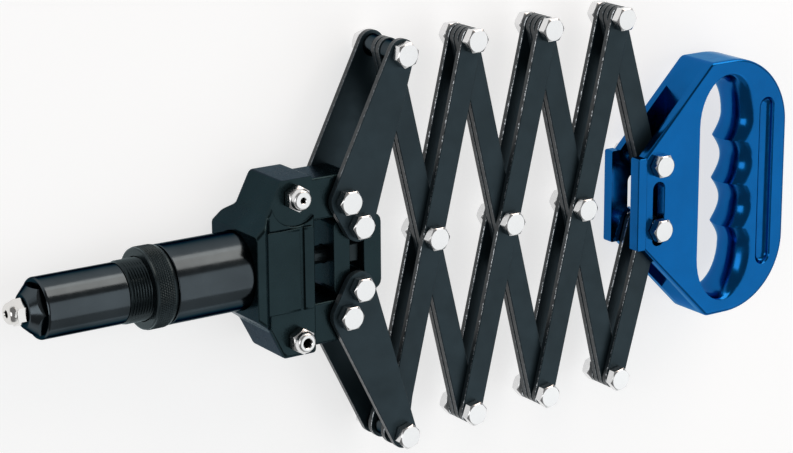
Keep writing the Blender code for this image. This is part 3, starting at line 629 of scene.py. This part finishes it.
def sheared_edge(name, steel):
    """Black paint on the flank of a plate, worn to specks of steel near its front edge; a darker steel
    gives a copy of it in painted shade.
    """
    made = material(name, (0.02, 0.03, 0.036), 0.34, metallic=0.5,
                    grain=(1800.0, 0.06 * MM), streak=(1.0, 1.0, 0.1))
    tree = made.node_tree
    shader = tree.nodes["Principled BSDF"]
    painted = shader.inputs["Base Color"].links[0].from_socket
    place = tree.nodes.new("ShaderNodeTexCoord")
    split = tree.nodes.new("ShaderNodeSeparateXYZ")
    tree.links.new(place.outputs["Object"], split.inputs["Vector"])
    zone = tree.nodes.new("ShaderNodeMapRange")
    zone.inputs["From Min"].default_value = PLATE * 0.2
    zone.inputs["From Max"].default_value = PLATE * 0.85
    zone.inputs["To Min"].default_value = -0.2
    zone.inputs["To Max"].default_value = 0.15
    tree.links.new(split.outputs["Z"], zone.inputs["Value"])
    specks = tree.nodes.new("ShaderNodeTexNoise")
    specks.inputs["Scale"].default_value = 650.0
    specks.inputs["Detail"].default_value = 6.0
    specks.inputs["Roughness"].default_value = 0.8
    tree.links.new(place.outputs["Object"], specks.inputs["Vector"])
    total = tree.nodes.new("ShaderNodeMath")
    total.operation = "ADD"
    tree.links.new(zone.outputs["Result"], total.inputs[0])
    tree.links.new(specks.outputs["Fac"], total.inputs[1])
    worn = tree.nodes.new("ShaderNodeMapRange")
    worn.inputs["From Min"].default_value = 0.62
    worn.inputs["From Max"].default_value = 0.7
    tree.links.new(total.outputs["Value"], worn.inputs["Value"])
    mix = tree.nodes.new("ShaderNodeMix")
    mix.data_type = "RGBA"
    mix.inputs["B"].default_value = (*steel, 1.0)
    tree.links.new(worn.outputs["Result"], mix.inputs["Factor"])
    tree.links.new(painted, mix.inputs["A"])
    tree.links.new(mix.outputs["Result"], shader.inputs["Base Color"])
    tree.links.new(worn.outputs["Result"], shader.inputs["Metallic"])
    return made


LOOKS = {
    "plate": material("satin black plate", (0.02, 0.036, 0.045), 0.42, metallic=0.6, specular=0.35,
                      grain=(1500.0, 0.012 * MM)),
    "bright flank": sheared_edge("bright sheared edge", (0.9, 0.95, 1.0)),
    # The flanks of the inner links and arms use a darker steel, which paints shade on them; the specks
    # themselves are real wear.
    "shaded flank": sheared_edge("sheared edge in painted shade", (0.2, 0.22, 0.24)),
    "casting": material("black casting", (0.014, 0.027, 0.031), 0.25, metallic=0.85, specular=0.25,
                        coat=0.06, grain=(1200.0, 0.07 * MM), shine=(0.3, 0.4, 0.46)),
    "gloss black": material("gloss black", (0.055, 0.067, 0.075), 0.17, metallic=1.0,
                            grain=(2500.0, 0.002 * MM), gloss=0.03, shine=(0.2, 0.24, 0.26)),
    "satin black": material("blackened steel", (0.014, 0.02, 0.023), 0.28, metallic=0.5, specular=0.4,
                            grain=(1200.0, 0.01 * MM), shine=(0.75, 0.95, 1.0)),
    "zinc": material("bright zinc", (0.77, 0.77, 0.77), 0.22, metallic=1.0, tint=0.06,
                     grain=(1500.0, 0.008 * MM)),
    "chrome": material("bright plated", (0.75, 0.74, 0.72), 0.14, metallic=1.0, tint=0.03,
                       grain=(1500.0, 0.003 * MM), gloss=0.04),
    "blue": material("blue enamel", (0.0006, 0.1, 0.32), 0.2, metallic=1.0, coat=0.12,
                     grain=(600.0, 0.004 * MM), tint=0.08, shine=(0.3, 0.6, 0.85)),
}


# Pieces


def stand_in(name, mesh, looks, place=(0.0, 0.0, 0.0), turn=(0.0, 0.0, 0.0)):
    """Adds the finished piece for the node of the same name. place is in the tool frame."""
    for look in looks:
        mesh.materials.append(LOOKS[look])
    piece = bpy.data.objects.new("finish_" + name, mesh)
    bpy.context.collection.objects.link(piece)
    piece.location = ORIGIN + Vector(place)
    piece.rotation_euler = turn
    keep_flats_flat(piece)
    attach(piece, nodes[name]["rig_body"])
    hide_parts(name)


def keep_flats_flat(piece):
    """Shades large flat faces as flat where they meet rounded edges."""
    even = piece.modifiers.new("even shading", "WEIGHTED_NORMAL")
    even.keep_sharp = True


def build_plates():
    """The links of the tongs and the two arms."""
    whole = link_loops((-HALF_LINK, 0.0, HALF_LINK))
    last = link_loops((0.0, LAST_LINK_LENGTH))
    # Inner links and arms take the flank with painted shade, outer links the bright worn steel.
    inner = plate_mesh(whole, "shaded flank", -LINK_ANGLE)
    outer = plate_mesh(whole, "bright flank", LINK_ANGLE)
    first_outer = plate_mesh(first_outer_loops, "bright flank", LINK_ANGLE)
    for number in range(1, CELL_COUNT + 1):
        centre = ((2 * number - 2) * HALF_STEP, 0.0)
        add_pair("inner_link_" + str(number), inner, centre)
        add_pair("outer_link_" + str(number), first_outer if number == 1 else outer, centre)
    for kind, flank, side in (("inner", "shaded flank", 1), ("outer", "bright flank", -1)):
        short = plate_mesh(last, flank, -side * LAST_LINK_ANGLE)
        add_pair(kind + "_link_" + str(CELL_COUNT + 1), short, (LAST_TIP_X, side * HALF_RISE))
    for name, side in (("upper_arm", 1), ("lower_arm", -1)):
        arm = plate_mesh(arm_loops(side), "shaded flank")
        add_pair(name, arm, (PIVOT_X, side * ARM_PIVOT_HEIGHT))


def add_pair(name, mesh, centre):
    """The front and the rear plate of a pair, which share one mesh."""
    for face in ("front", "rear"):
        node = name + "_" + face
        piece = bpy.data.objects.new("finish_" + node, mesh)
        bpy.context.collection.objects.link(piece)
        piece.location = ORIGIN + Vector((*centre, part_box(node)[0].z - ORIGIN.z))
        keep_flats_flat(piece)
        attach(piece, nodes[node]["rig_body"])
        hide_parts(node)


def build_bolts():
    """Every bolt with its nut, at the place and length of its node."""
    turns = {"upper_arm_tip_bolt": TIP_BOLT_TURN, "lower_arm_tip_bolt": TIP_BOLT_TURN}
    for number in range(2, CELL_COUNT + 2):
        turns["lower_bolt_" + str(number)] = LOWER_BOLT_TURN
    for node in nodes:
        if "bolt" not in node:
            continue
        low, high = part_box(node)
        head = high.z - ORIGIN.z
        end = low.z - ORIGIN.z
        nut_end = end + THREAD_END
        mesh = bolt_mesh(head, head - HEAD_HEIGHT, nut_end + NUT_HEIGHT, nut_end, end)
        place = axis_of(node) - ORIGIN
        stand_in(node, mesh, ["zinc"], (place.x, place.y, 0.0), (0.0, 0.0, turns.get(node, 0.0)))


def build_bushes():
    """The bushes between the plates, turned with small chamfers."""
    for node in nodes:
        if "bush" not in node:
            continue
        low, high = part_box(node)
        bottom, top = low.z - ORIGIN.z, high.z - ORIGIN.z
        profile = [(bottom, HOLE_RADIUS), (bottom, SPACER_RADIUS), (top, SPACER_RADIUS), (top, HOLE_RADIUS)]
        rings = [plain_ring(z, radius, BUSH_SIDES) for z, radius in soften(profile, BUSH_EDGE)]
        place = axis_of(node) - ORIGIN
        look = "zinc" if node == "handle_bush" else "gloss black"
        stand_in(node, mesh_of(loft(rings, True)), [look], (place.x, place.y, 0.0))


def span_of(node):
    """Where a piece starts and ends along X, in the tool frame."""
    low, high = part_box(node)
    return low.x - ORIGIN.x, high.x - ORIGIN.x


def build_barrel():
    """The plain tube between the head and the lock ring."""
    front, back = span_of("main_barrel")
    profile = [(front, BARREL_BORE), (front, BARREL_RADIUS), (back, BARREL_RADIUS), (back, BARREL_BORE)]
    stand_in("main_barrel", mesh_of(turned(soften(profile, TURNED_EDGE))), ["gloss black"])


def build_sleeve():
    """The sleeve, with its thread cut as a helix where it shows."""
    front, back = span_of("threaded_sleeve")
    threaded = span_of("lock_ring")[0] + THREAD_UNDER_RING
    steps = round((threaded - front) / THREAD_PITCH * THREAD_STEPS)
    root = SLEEVE_RADIUS - THREAD_DEPTH
    rings = [ring_across_x(back, SLEEVE_BORE), ring_across_x(front, SLEEVE_BORE)]
    for step in range(steps):
        x = front + (threaded - front) * step / steps
        lead = min(1.0, (x - front) / THREAD_PITCH)
        ring = []
        for side in range(TURNED_SIDES):
            share = side / TURNED_SIDES
            turn = ((x - front) / THREAD_PITCH + share) % 1.0
            depth = THREAD_DEPTH * (1 - abs(2 * turn - 1)) ** THREAD_SHAPE
            radius = SLEEVE_RADIUS - max(depth, THREAD_DEPTH * (1 - lead))
            angle = TURN * share
            ring.append((x, radius * math.cos(angle), radius * math.sin(angle)))
        rings.append(ring)
    rings += [ring_across_x(threaded, root), ring_across_x(back, root)]
    stand_in("threaded_sleeve", mesh_of(loft(rings, True)), ["satin black"])


def build_ring():
    """The lock ring, with a diamond knurl between its front edge and a plain chamfered band."""
    front, back = span_of("lock_ring")
    turns = round(TURN * RING_RADIUS / KNURL_PITCH)
    sides = 4 * turns
    start = front + KNURL_START
    end = start + KNURL_WIDTH
    steps = round(KNURL_WIDTH / KNURL_PITCH * KNURL_STEPS)
    front_band = RING_RADIUS - RING_FRONT_BAND
    back_band = RING_RADIUS - RING_BACK_BAND
    before = [
        (back, RING_BORE),
        (front, RING_BORE),
        (front, RING_RADIUS - RING_FRONT_CORNER),
        (front + RING_FRONT_EDGE, front_band),
        (start - KNURL_RUN_IN, front_band),
    ]
    after = [
        (end + KNURL_RUN_OUT, back_band),
        (back - RING_BACK_CHAMFER, back_band),
        (back, RING_RADIUS - RING_BACK_CHAMFER),
    ]
    rings = [ring_across_x(x, radius, sides) for x, radius in before]
    for step in range(steps + 1):
        x = start + KNURL_WIDTH * step / steps
        along = (x - start) / KNURL_PITCH
        ring = []
        for side in range(sides):
            share = turns * side / sides
            peaks = []
            for lean in (-KNURL_LEAN, KNURL_LEAN):
                peaks.append(1 - abs(2 * ((share + lean * along) % 1.0) - 1))
            radius = RING_RADIUS - KNURL_DEPTH * (1 - min(1.0, KNURL_STEEPNESS * min(peaks)))
            angle = TURN * side / sides
            ring.append((x, radius * math.cos(angle), radius * math.sin(angle)))
        rings.append(ring)
    rings += [ring_across_x(x, radius, sides) for x, radius in after]
    stand_in("lock_ring", mesh_of(loft(rings, True), angle=28.0), ["satin black"])


def build_nose():
    """The nose: a coned front cut to a hexagon, and a spigot in the sleeve."""
    front, spigot_end = span_of("nose_housing")
    shoulder = front + NOSE_CONE
    back = span_of("threaded_sleeve")[0] - FIT
    floor = front + NOSE_THREAD
    bore = NOSE_RADIUS - NOSE_WALL
    thread = STUB_RADIUS + FIT
    spigot = SLEEVE_RADIUS - NOSE_WALL
    profile = [
        (front, thread),
        (front, NOSE_TIP_RADIUS),
        (shoulder, NOSE_RADIUS),
        (back, NOSE_RADIUS),
        (back, spigot),
        (spigot_end, spigot),
        (spigot_end, bore),
        (floor, bore),
        (floor, thread),
    ]
    mesh = mesh_of(turned(soften(profile, TURNED_EDGE)))
    for step in range(6):
        angle = TURN * step / 6
        rings = []
        for x in (front - FIT, shoulder - NOSE_FLATS_STEP):
            ring = []
            for across, out in ((-1, 0), (1, 0), (1, 1), (-1, 1)):
                radial = NOSE_FLATS / 2 + out * NOSE_RADIUS
                side = across * NOSE_RADIUS
                y = radial * math.cos(angle) - side * math.sin(angle)
                z = radial * math.sin(angle) + side * math.cos(angle)
                ring.append((x, y, z))
            rings.append(ring)
        mesh = combine(mesh, loft(rings), "DIFFERENCE", 20.0)
    stand_in("nose_housing", mesh, ["gloss black"])


def nosepiece_mesh(bore):
    """A nosepiece along X with the back of its hexagon at zero and its domed face in front."""
    shoulder = -NOSEPIECE_HEX_LENGTH
    face = shoulder - NOSEPIECE_DOME
    swell = NOSEPIECE_DOME_RADIUS - NOSEPIECE_CROWN
    steps = 6
    profile = [
        (STUB_LENGTH, bore),
        (face + NOSEPIECE_BORE_EDGE, bore),
        (face, bore + NOSEPIECE_BORE_EDGE),
        (face, NOSEPIECE_CROWN),
    ]
    for step in range(1, steps + 1):
        angle = math.pi / 2 * step / steps
        x = shoulder - NOSEPIECE_DOME * math.cos(angle)
        profile.append((x, NOSEPIECE_CROWN + swell * math.sin(angle)))
    rings = [ring_across_x(x, radius, CAP_SIDES) for x, radius in profile]
    for ring in hexagon_cap(0.0, 1)[1:]:
        rings.append([(shoulder - z, x, y) for x, y, z in ring])
    for inset, x in ((0.0, -NOSEPIECE_HEX_EDGE), (NOSEPIECE_HEX_EDGE, 0.0)):
        rings.append([(x, y, z) for y, z, _ in hexagon_ring(0.0, inset)])
    stub = [
        (0.0, STUB_RADIUS),
        (STUB_LENGTH - STUB_EDGE, STUB_RADIUS),
        (STUB_LENGTH, STUB_RADIUS - STUB_EDGE),
    ]
    rings += [ring_across_x(x, radius, CAP_SIDES) for x, radius in stub]
    return mesh_of(loft(rings, True), angle=30.0)


def build_nosepieces():
    """The fitted nosepiece in the nose and the two spare ones in the head."""
    front = span_of("nosepiece")[1] - STUB_LENGTH
    stand_in("nosepiece", nosepiece_mesh(NOSEPIECE_BORE), ["chrome"], (front, 0.0, 0.0))
    for name, side, bore in (("upper", 1, SPARE_UPPER_BORE), ("lower", -1, SPARE_LOWER_BORE)):
        node = "spare_nosepiece_" + name
        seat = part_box(node)[0].z + STUB_LENGTH - ORIGIN.z
        place = (PIVOT_X - SPARE_FORWARD, side * SPARE_HEIGHT, seat)
        stand_in(node, nosepiece_mesh(bore), ["zinc"], place, (0.0, math.pi / 2, 0.0))


def casting_section(x, half_height, half_depth):
    """A rectangle across X with rounded corners."""
    points = []
    for quarter, (out, up) in enumerate(((1, 1), (-1, 1), (-1, -1), (1, -1))):
        centre = (out * (half_depth - CASTING_EDGE), up * (half_height - CASTING_EDGE))
        start = math.pi / 2 * quarter
        for z, y in arc(centre, CASTING_EDGE, start, start + math.pi / 2, 6):
            points.append((x, y, z))
    return points


def casting_block():
    """The block of the head, which narrows and deepens to its collar."""
    shoulder = -BLOCK_BACK - BLOCK_TOP_LENGTH
    collar_back = -COLLAR_FRONT + COLLAR_LENGTH
    share = COLLAR_LENGTH / (COLLAR_FRONT - BLOCK_NECK)
    collar_top = COLLAR_HALF_HEIGHT + (BLOCK_NECK_HEIGHT - COLLAR_HALF_HEIGHT) * share
    shape = loft([
        casting_section(-COLLAR_FRONT, COLLAR_HALF_HEIGHT, COLLAR_HALF_DEPTH),
        casting_section(collar_back, collar_top, COLLAR_HALF_DEPTH),
        casting_section(-BLOCK_NECK, BLOCK_NECK_HEIGHT, BLOCK_HALF_DEPTH),
        casting_section(shoulder, BLOCK_HALF_HEIGHT, BLOCK_HALF_DEPTH),
        casting_section(-BLOCK_BACK, BLOCK_HALF_HEIGHT, BLOCK_HALF_DEPTH),
    ])
    bmesh.ops.recalc_face_normals(shape, faces=shape.faces)
    for offset, front in ((COLLAR_EDGE, True), (BLOCK_CREASE, False)):
        creases = []
        for edge in shape.edges:
            start, end = (vertex.co.x for vertex in edge.verts)
            level = abs(start - end) < TINY and edge.calc_face_angle(0.0) > math.radians(8)
            if level and (start < -COLLAR_FRONT + BLOCK_CREASE) == front:
                creases.append(edge)
        bmesh.ops.bevel(shape, geom=creases, offset=offset, segments=3, profile=0.5, affect="EDGES")
    return mesh_of(shape)


def casting_leg(side):
    """The leg that carries an arm's pivot. side is 1 for the upper one."""
    root = -BLOCK_BACK - 2 * CASTING_EDGE

    def loops_at(inset):
        outline = rectangle((root - LEG_CORNER, LEG_CENTRE - LEG_WIDTH / 2),
                            (LEG_END, LEG_CENTRE + LEG_WIDTH / 2), LEG_CORNER, inset)
        return [[(x, side * y) for x, y in outline]]

    return rounded_slab(-LEG_HALF_DEPTH, LEG_HALF_DEPTH, LEG_EDGE, loops_at)


def build_casting():
    """The head: a block with a collar, two legs, a bare label pad, a pocket and its holes."""
    mesh = casting_block()
    for side in (1, -1):
        mesh = combine(mesh, casting_leg(side), "UNION")
    label_back = -BLOCK_BACK - CASTING_EDGE / 2
    label_top = BLOCK_HALF_DEPTH + LABEL_DEPTH

    def label_loops(inset):
        return [rectangle((label_back - LABEL_LENGTH, -LABEL_HALF_HEIGHT),
                          (label_back, LABEL_HALF_HEIGHT), LABEL_CORNER, inset)]

    mesh = combine(mesh, rounded_slab(LABEL_ROOT, label_top, LABEL_EDGE, label_loops), "UNION")
    groove_radius = LABEL_GROOVE_WIDTH / 2
    groove_x = label_back - LABEL_GROOVE_BACK - groove_radius
    groove_end = LABEL_HALF_HEIGHT + LABEL_DEPTH
    groove = flared_slot([(groove_x, -groove_end), (groove_x, groove_end)], groove_radius,
                         label_top - LABEL_GROOVE_DEPTH, label_top, LABEL_GROOVE_FLARE)
    mesh = combine(mesh, groove, "DIFFERENCE")
    pocket_floor = BLOCK_HALF_DEPTH - POCKET_DEPTH
    pocket = flared_disc((-SPARE_FORWARD, SPARE_HEIGHT), POCKET_RADIUS, pocket_floor, BLOCK_HALF_DEPTH,
                         POCKET_FLARE)
    mesh = combine(mesh, pocket, "DIFFERENCE")
    reach = BLOCK_HALF_DEPTH
    for side in (1, -1):
        floor = pocket_floor - STUB_LENGTH - FIT
        hole = circle((-SPARE_FORWARD, side * SPARE_HEIGHT), STUB_RADIUS + FIT)
        mesh = combine(mesh, layered([(floor, [hole]), (2 * reach, [hole])]), "DIFFERENCE")
        hole = circle((0.0, side * ARM_PIVOT_HEIGHT), HOLE_RADIUS)
        mesh = combine(mesh, layered([(-reach, [hole]), (reach, [hole])]), "DIFFERENCE")
    seat = -COLLAR_FRONT + BARREL_SEAT + FIT
    bores = [
        (-COLLAR_FRONT - COLLAR_LENGTH, BARREL_RADIUS + FIT),
        (seat, BARREL_RADIUS + FIT),
        (seat, DRAW_BORE),
        (0.0, DRAW_BORE),
    ]
    mesh = combine(mesh, turned(bores, closed=False), "DIFFERENCE")
    stand_in("head_casting", mesh, ["casting"], (PIVOT_X, 0.0, 0.0))


def groove_cutter(ends, steps):
    """A cutter for a round ended groove, from steps of (height, half width)."""
    levels = []
    for z, reach in steps:
        levels.append((z, [band_round([(*end, reach) for end in ends])]))
    return layered(levels)


def flared_slot(ends, radius, floor, surface, flare):
    """A cutter for a round ended groove whose mouth is rounded off."""
    return groove_cutter(ends, [
        (floor, 0.6 * radius),
        (floor + 0.25 * radius, radius),
        (surface - flare, radius),
        (surface - 0.3 * flare, radius + 0.3 * flare),
        (surface, radius + flare),
        (surface + flare, radius + 2 * flare),
    ])


def scooped_slot(ends, radius, floor, surface, flare):
    """A cutter for a round ended groove with a hollow floor and a chamfered mouth."""
    depth = surface - flare - floor
    count = 7
    steps = []
    for step in range(1, count + 1):
        angle = math.pi / 2 * step / count
        steps.append((floor + depth * (1 - math.cos(angle)), radius * math.sin(angle)))
    steps += [(surface, radius + 0.7 * flare), (surface + flare, radius + 1.4 * flare)]
    return groove_cutter(ends, steps)


def flared_disc(centre, radius, floor, surface, flare):
    """A cutter for a round pocket with a rounded floor and mouth."""
    levels = []
    for z, out in ((floor, -flare), (floor + 0.3 * flare, -0.3 * flare), (floor + flare, 0.0),
                   (surface - 0.5 * flare, 0.0), (surface, 0.5 * flare), (surface + flare, 2 * flare)):
        levels.append((z, [circle(centre, radius + out, DISC_SIDES)]))
    return layered(levels)


def handle_outline(inset):
    """The handle from the front: a narrow cheek, two slopes and a round back."""
    centre = HANDLE_BACK - HANDLE_CORNER
    corner_height = HANDLE_HALF_HEIGHT - HANDLE_CORNER
    cheek_x = -CHEEK_FRONT + RIM_WIDTH + CHEEK_CORNER
    slope_height = HANDLE_HALF_HEIGHT - 2 * CHEEK_CORNER
    return band_round([
        (cheek_x, -CHEEK_HALF_HEIGHT + CHEEK_CORNER, CHEEK_CORNER - inset),
        (SLOPE_START, -slope_height, 2 * CHEEK_CORNER - inset),
        (centre, -corner_height, HANDLE_CORNER - inset),
        (centre, corner_height, HANDLE_CORNER - inset),
        (SLOPE_START, slope_height, 2 * CHEEK_CORNER - inset),
        (cheek_x, CHEEK_HALF_HEIGHT - CHEEK_CORNER, CHEEK_CORNER - inset),
    ], 96)


def finger_outline(swell):
    """The finger hole at one height, where the grip swells into it by a share."""
    back = FINGER_BACK - GRIP_BULGE * swell
    top = FINGER_HALF_HEIGHT - GRIP_BULGE / 3 * swell
    bend = 1.5 * FINGER_PITCH
    middle = (FINGER_FRONT + back) / 2
    half_width = back - middle
    points = []
    for step in range(FINGER_END_STEPS):
        angle = math.pi * (1 - step / FINGER_END_STEPS)
        points.append((middle + half_width * math.cos(angle), bend + (top - bend) * math.sin(angle)))
    for step in range(2 * FINGER_GRIP_STEPS + 1):
        y = bend * (1 - step / FINGER_GRIP_STEPS)
        scallop = 1 - abs(math.sin(math.pi * y / FINGER_PITCH))
        points.append((back - FINGER_DEPTH * scallop, y))
    for step in range(1, FINGER_END_STEPS + 1):
        angle = -math.pi * step / FINGER_END_STEPS
        points.append((middle + half_width * math.cos(angle), (top - bend) * math.sin(angle) - bend))
    return points


def handle_body():
    """The solid D of the handle with its finger hole."""
    levels = []
    for step in range(HANDLE_EDGE_STEPS + 1):
        angle = math.pi / 2 * step / HANDLE_EDGE_STEPS
        height = HANDLE_HALF_DEPTH - HANDLE_EDGE * (1 - math.cos(angle))
        levels.append((height, HANDLE_EDGE * (1 - math.sin(angle))))
    rounded = list(levels)
    for step in range(1, HANDLE_SIDE_STEPS):
        levels.append((rounded[-1][0] * (1 - 2 * step / HANDLE_SIDE_STEPS), 0.0))
    levels += [(-height, inset) for height, inset in reversed(rounded)]
    rows = []
    for height, inset in reversed(levels):
        share = min(1.0, abs(height) / HANDLE_HALF_DEPTH)
        swell = math.sqrt(max(0.0, 1 - share * share))
        rows.append((height, [handle_outline(inset), finger_outline(swell)]))
    return mesh_of(layered(rows), HANDLE_SHARP)


def build_handle():
    """The cast D handle: fork for the last links at the front, finger grip at the back."""
    mesh = handle_body()
    surface = HANDLE_HALF_DEPTH
    rim_depth = surface + RIM_HEIGHT
    rim_back = RIM_WIDTH + HANDLE_EDGE - CHEEK_FRONT

    def rim_loops(inset):
        return [rectangle((-CHEEK_FRONT, -CHEEK_HALF_HEIGHT), (rim_back, CHEEK_HALF_HEIGHT),
                          RIM_CORNER, inset)]

    rim = rounded_slab(-rim_depth, rim_depth, RIM_EDGE, rim_loops)
    mesh = combine(mesh, rim, "UNION", HANDLE_SHARP)
    reach = HANDLE_HALF_HEIGHT
    through = 2 * surface
    fork = [(-reach, -reach), (FORK_FLOOR, -reach), (FORK_FLOOR, reach), (-reach, reach)]
    hole = circle((0.0, HANDLE_DROP + HANDLE_SPREAD), HOLE_RADIUS)
    for half, outline in ((FORK_HALF_GAP, fork), (through, hole)):
        cutter = layered([(-half, [outline]), (half, [outline])])
        mesh = combine(mesh, cutter, "DIFFERENCE", HANDLE_SHARP)
    slot_bolt = HANDLE_DROP - HANDLE_SPREAD
    slot = [(0.0, slot_bolt - SLOT_BELOW), (0.0, slot_bolt + SLOT_ABOVE)]
    groove_x = HANDLE_BACK - GROOVE_FORWARD
    groove = [(groove_x, -GROOVE_HALF_LENGTH), (groove_x, GROOVE_HALF_LENGTH)]
    for side in (1, -1):
        cutters = [flared_slot(slot, HOLE_RADIUS, 0.0, surface, SLOT_FLARE),
                   scooped_slot(groove, GROOVE_WIDTH / 2, surface - GROOVE_DEPTH, surface, GROOVE_FLARE)]
        for cutter in cutters:
            if side < 0:
                mirror = Matrix.Scale(-1.0, 4, (0.0, 0.0, 1.0))
                bmesh.ops.transform(cutter, matrix=mirror, verts=cutter.verts)
            mesh = combine(mesh, cutter, "DIFFERENCE", HANDLE_SHARP)
    stand_in("handle", mesh, ["blue"], (HANDLE_X, -HANDLE_DROP, 0.0))


def finish_inner_nodes():
    """The pieces that keep their solids: what is inside the head."""
    looks = {
        "crosshead": "casting",
        "draw_rod": "satin black",
        "draw_nut": "satin black",
        "jaw_case": "satin black",
        "jaw_upper": "satin black",
        "jaw_lower": "satin black",
        "jaw_pusher": "satin black",
        "jaw_spring": "zinc",
    }
    for node, look in looks.items():
        nodes[node].data.materials.clear()
        nodes[node].data.materials.append(LOOKS[look])
    for node, edge in (("crosshead", CROSSHEAD_EDGE), ("draw_nut", DRAW_NUT_EDGE)):
        weld = nodes[node].modifiers.new("weld", "WELD")
        weld.merge_threshold = TINY
        rounding = nodes[node].modifiers.new("rounded edges", "BEVEL")
        rounding.width = edge
        rounding.segments = 3
        rounding.limit_method = "ANGLE"
        rounding.angle_limit = math.radians(40)
        keep_flats_flat(nodes[node])


# Camera, floor and light


def build_camera():
    """The camera of the photograph."""
    back = Vector(CAMERA_BACK).normalized()
    right = Vector(CAMERA_RIGHT).normalized()
    up = back.cross(right)
    turned_right = right * math.cos(CAMERA_ROLL) + up * math.sin(CAMERA_ROLL)
    turned_up = back.cross(turned_right)
    data = bpy.data.cameras.new("camera")
    data.sensor_width = SENSOR_WIDTH
    data.lens = FOCAL_PIXELS / IMAGE_WIDTH * SENSOR_WIDTH
    data.clip_end = 20.0
    camera = bpy.data.objects.new("camera", data)
    bpy.context.collection.objects.link(camera)
    matrix = Matrix((turned_right, turned_up, back)).transposed().to_4x4()
    matrix.translation = ORIGIN + Vector(CAMERA_PLACE)
    camera.matrix_world = matrix
    bpy.context.scene.camera = camera


def seen_share(tree):
    """1 for the camera and for mirror-like rays, 0 for the light that falls on the object."""
    path = tree.nodes.new("ShaderNodeLightPath")
    total = path.outputs["Is Camera Ray"]
    for name in ("Is Glossy Ray", "Is Transmission Ray"):
        add = tree.nodes.new("ShaderNodeMath")
        add.operation = "MAXIMUM"
        tree.links.new(total, add.inputs[0])
        tree.links.new(path.outputs[name], add.inputs[1])
        total = add.outputs["Value"]
    return total


def floor_material():
    """Pale for the object's light, and brighter where the camera or a mirror sees it."""
    made = bpy.data.materials.new("pale floor")
    made.use_nodes = True
    tree = made.node_tree
    shader = tree.nodes["Principled BSDF"]
    shader.inputs["Base Color"].default_value = (FLOOR_COLOUR, FLOOR_COLOUR, FLOOR_COLOUR, 1.0)
    shader.inputs["Roughness"].default_value = 0.9
    shader.inputs["Specular IOR Level"].default_value = 0.0
    shader.inputs["Emission Color"].default_value = (1.0, 1.0, 1.0, 1.0)
    scale = tree.nodes.new("ShaderNodeMath")
    scale.operation = "MULTIPLY"
    scale.inputs[1].default_value = FLOOR_GLOW
    tree.links.new(seen_share(tree), scale.inputs[0])
    tree.links.new(scale.outputs["Value"], shader.inputs["Emission Strength"])
    return made


def build_floor():
    """A pale floor with a low wall round it, which low views see behind the tool."""
    shape = bmesh.new()
    corners = []
    tops = []
    for x, y in ((-1, -1), (1, -1), (1, 1), (-1, 1)):
        corners.append(shape.verts.new((x * FLOOR_REACH, y * FLOOR_REACH, 0.0)))
        tops.append(shape.verts.new((x * FLOOR_REACH, y * FLOOR_REACH, WALL_HEIGHT)))
    shape.faces.new(corners)
    for index in range(4):
        shape.faces.new((corners[index], tops[index], tops[index - 3], corners[index - 3]))
    mesh = bpy.data.meshes.new("floor")
    shape.to_mesh(mesh)
    shape.free()
    mesh.materials.append(floor_material())
    floor = bpy.data.objects.new("floor", mesh)
    bpy.context.collection.objects.link(floor)
    floor.location.z = cad_box[0].z - FLOOR_GAP


def build_world():
    """An even pale light from all round."""
    world = bpy.data.worlds.new("studio")
    bpy.context.scene.world = world
    world.use_nodes = True
    tree = world.node_tree
    background = tree.nodes["Background"]
    background.inputs["Color"].default_value = (1.0, 1.0, 1.0, 1.0)
    background.inputs["Strength"].default_value = WORLD_LIGHT


def build_lamp(name, place, width, height, power, colour):
    """A rectangular softbox that faces the tool, with its power in watts."""
    data = bpy.data.lights.new(name, "AREA")
    data.shape = "RECTANGLE"
    data.size = width
    data.size_y = height
    data.energy = power
    data.color = colour
    lamp = bpy.data.objects.new(name, data)
    bpy.context.collection.objects.link(lamp)
    lamp.location = place
    direction = Vector(AIM) - Vector(place)
    lamp.rotation_euler = direction.to_track_quat("-Z", "Y").to_euler()


def main():
    build_plates()
    build_bolts()
    build_bushes()
    build_barrel()
    build_sleeve()
    build_ring()
    build_nose()
    build_nosepieces()
    build_casting()
    build_handle()
    finish_inner_nodes()
    build_camera()
    build_floor()
    build_world()
    build_lamp("back softbox", (0.75, 1.15, 0.47), 1.1, 0.95, 10.5, (1.0, 0.85, 0.75))
    build_lamp("overhead softbox", (0.8, -0.14, 1.35), 1.8, 1.75, 9.3, (0.97, 0.99, 1.0))
    build_lamp("side softbox", (-1.2, 0.1, 0.8), 0.7, 0.7, 3.0, (1.0, 1.0, 1.0))
    build_lamp("front softbox", (0.7, -1.15, 0.66), 1.3, 1.2, 1.4, (0.93, 0.98, 1.0))
    bpy.context.scene.view_settings.view_transform = "Standard"


main()
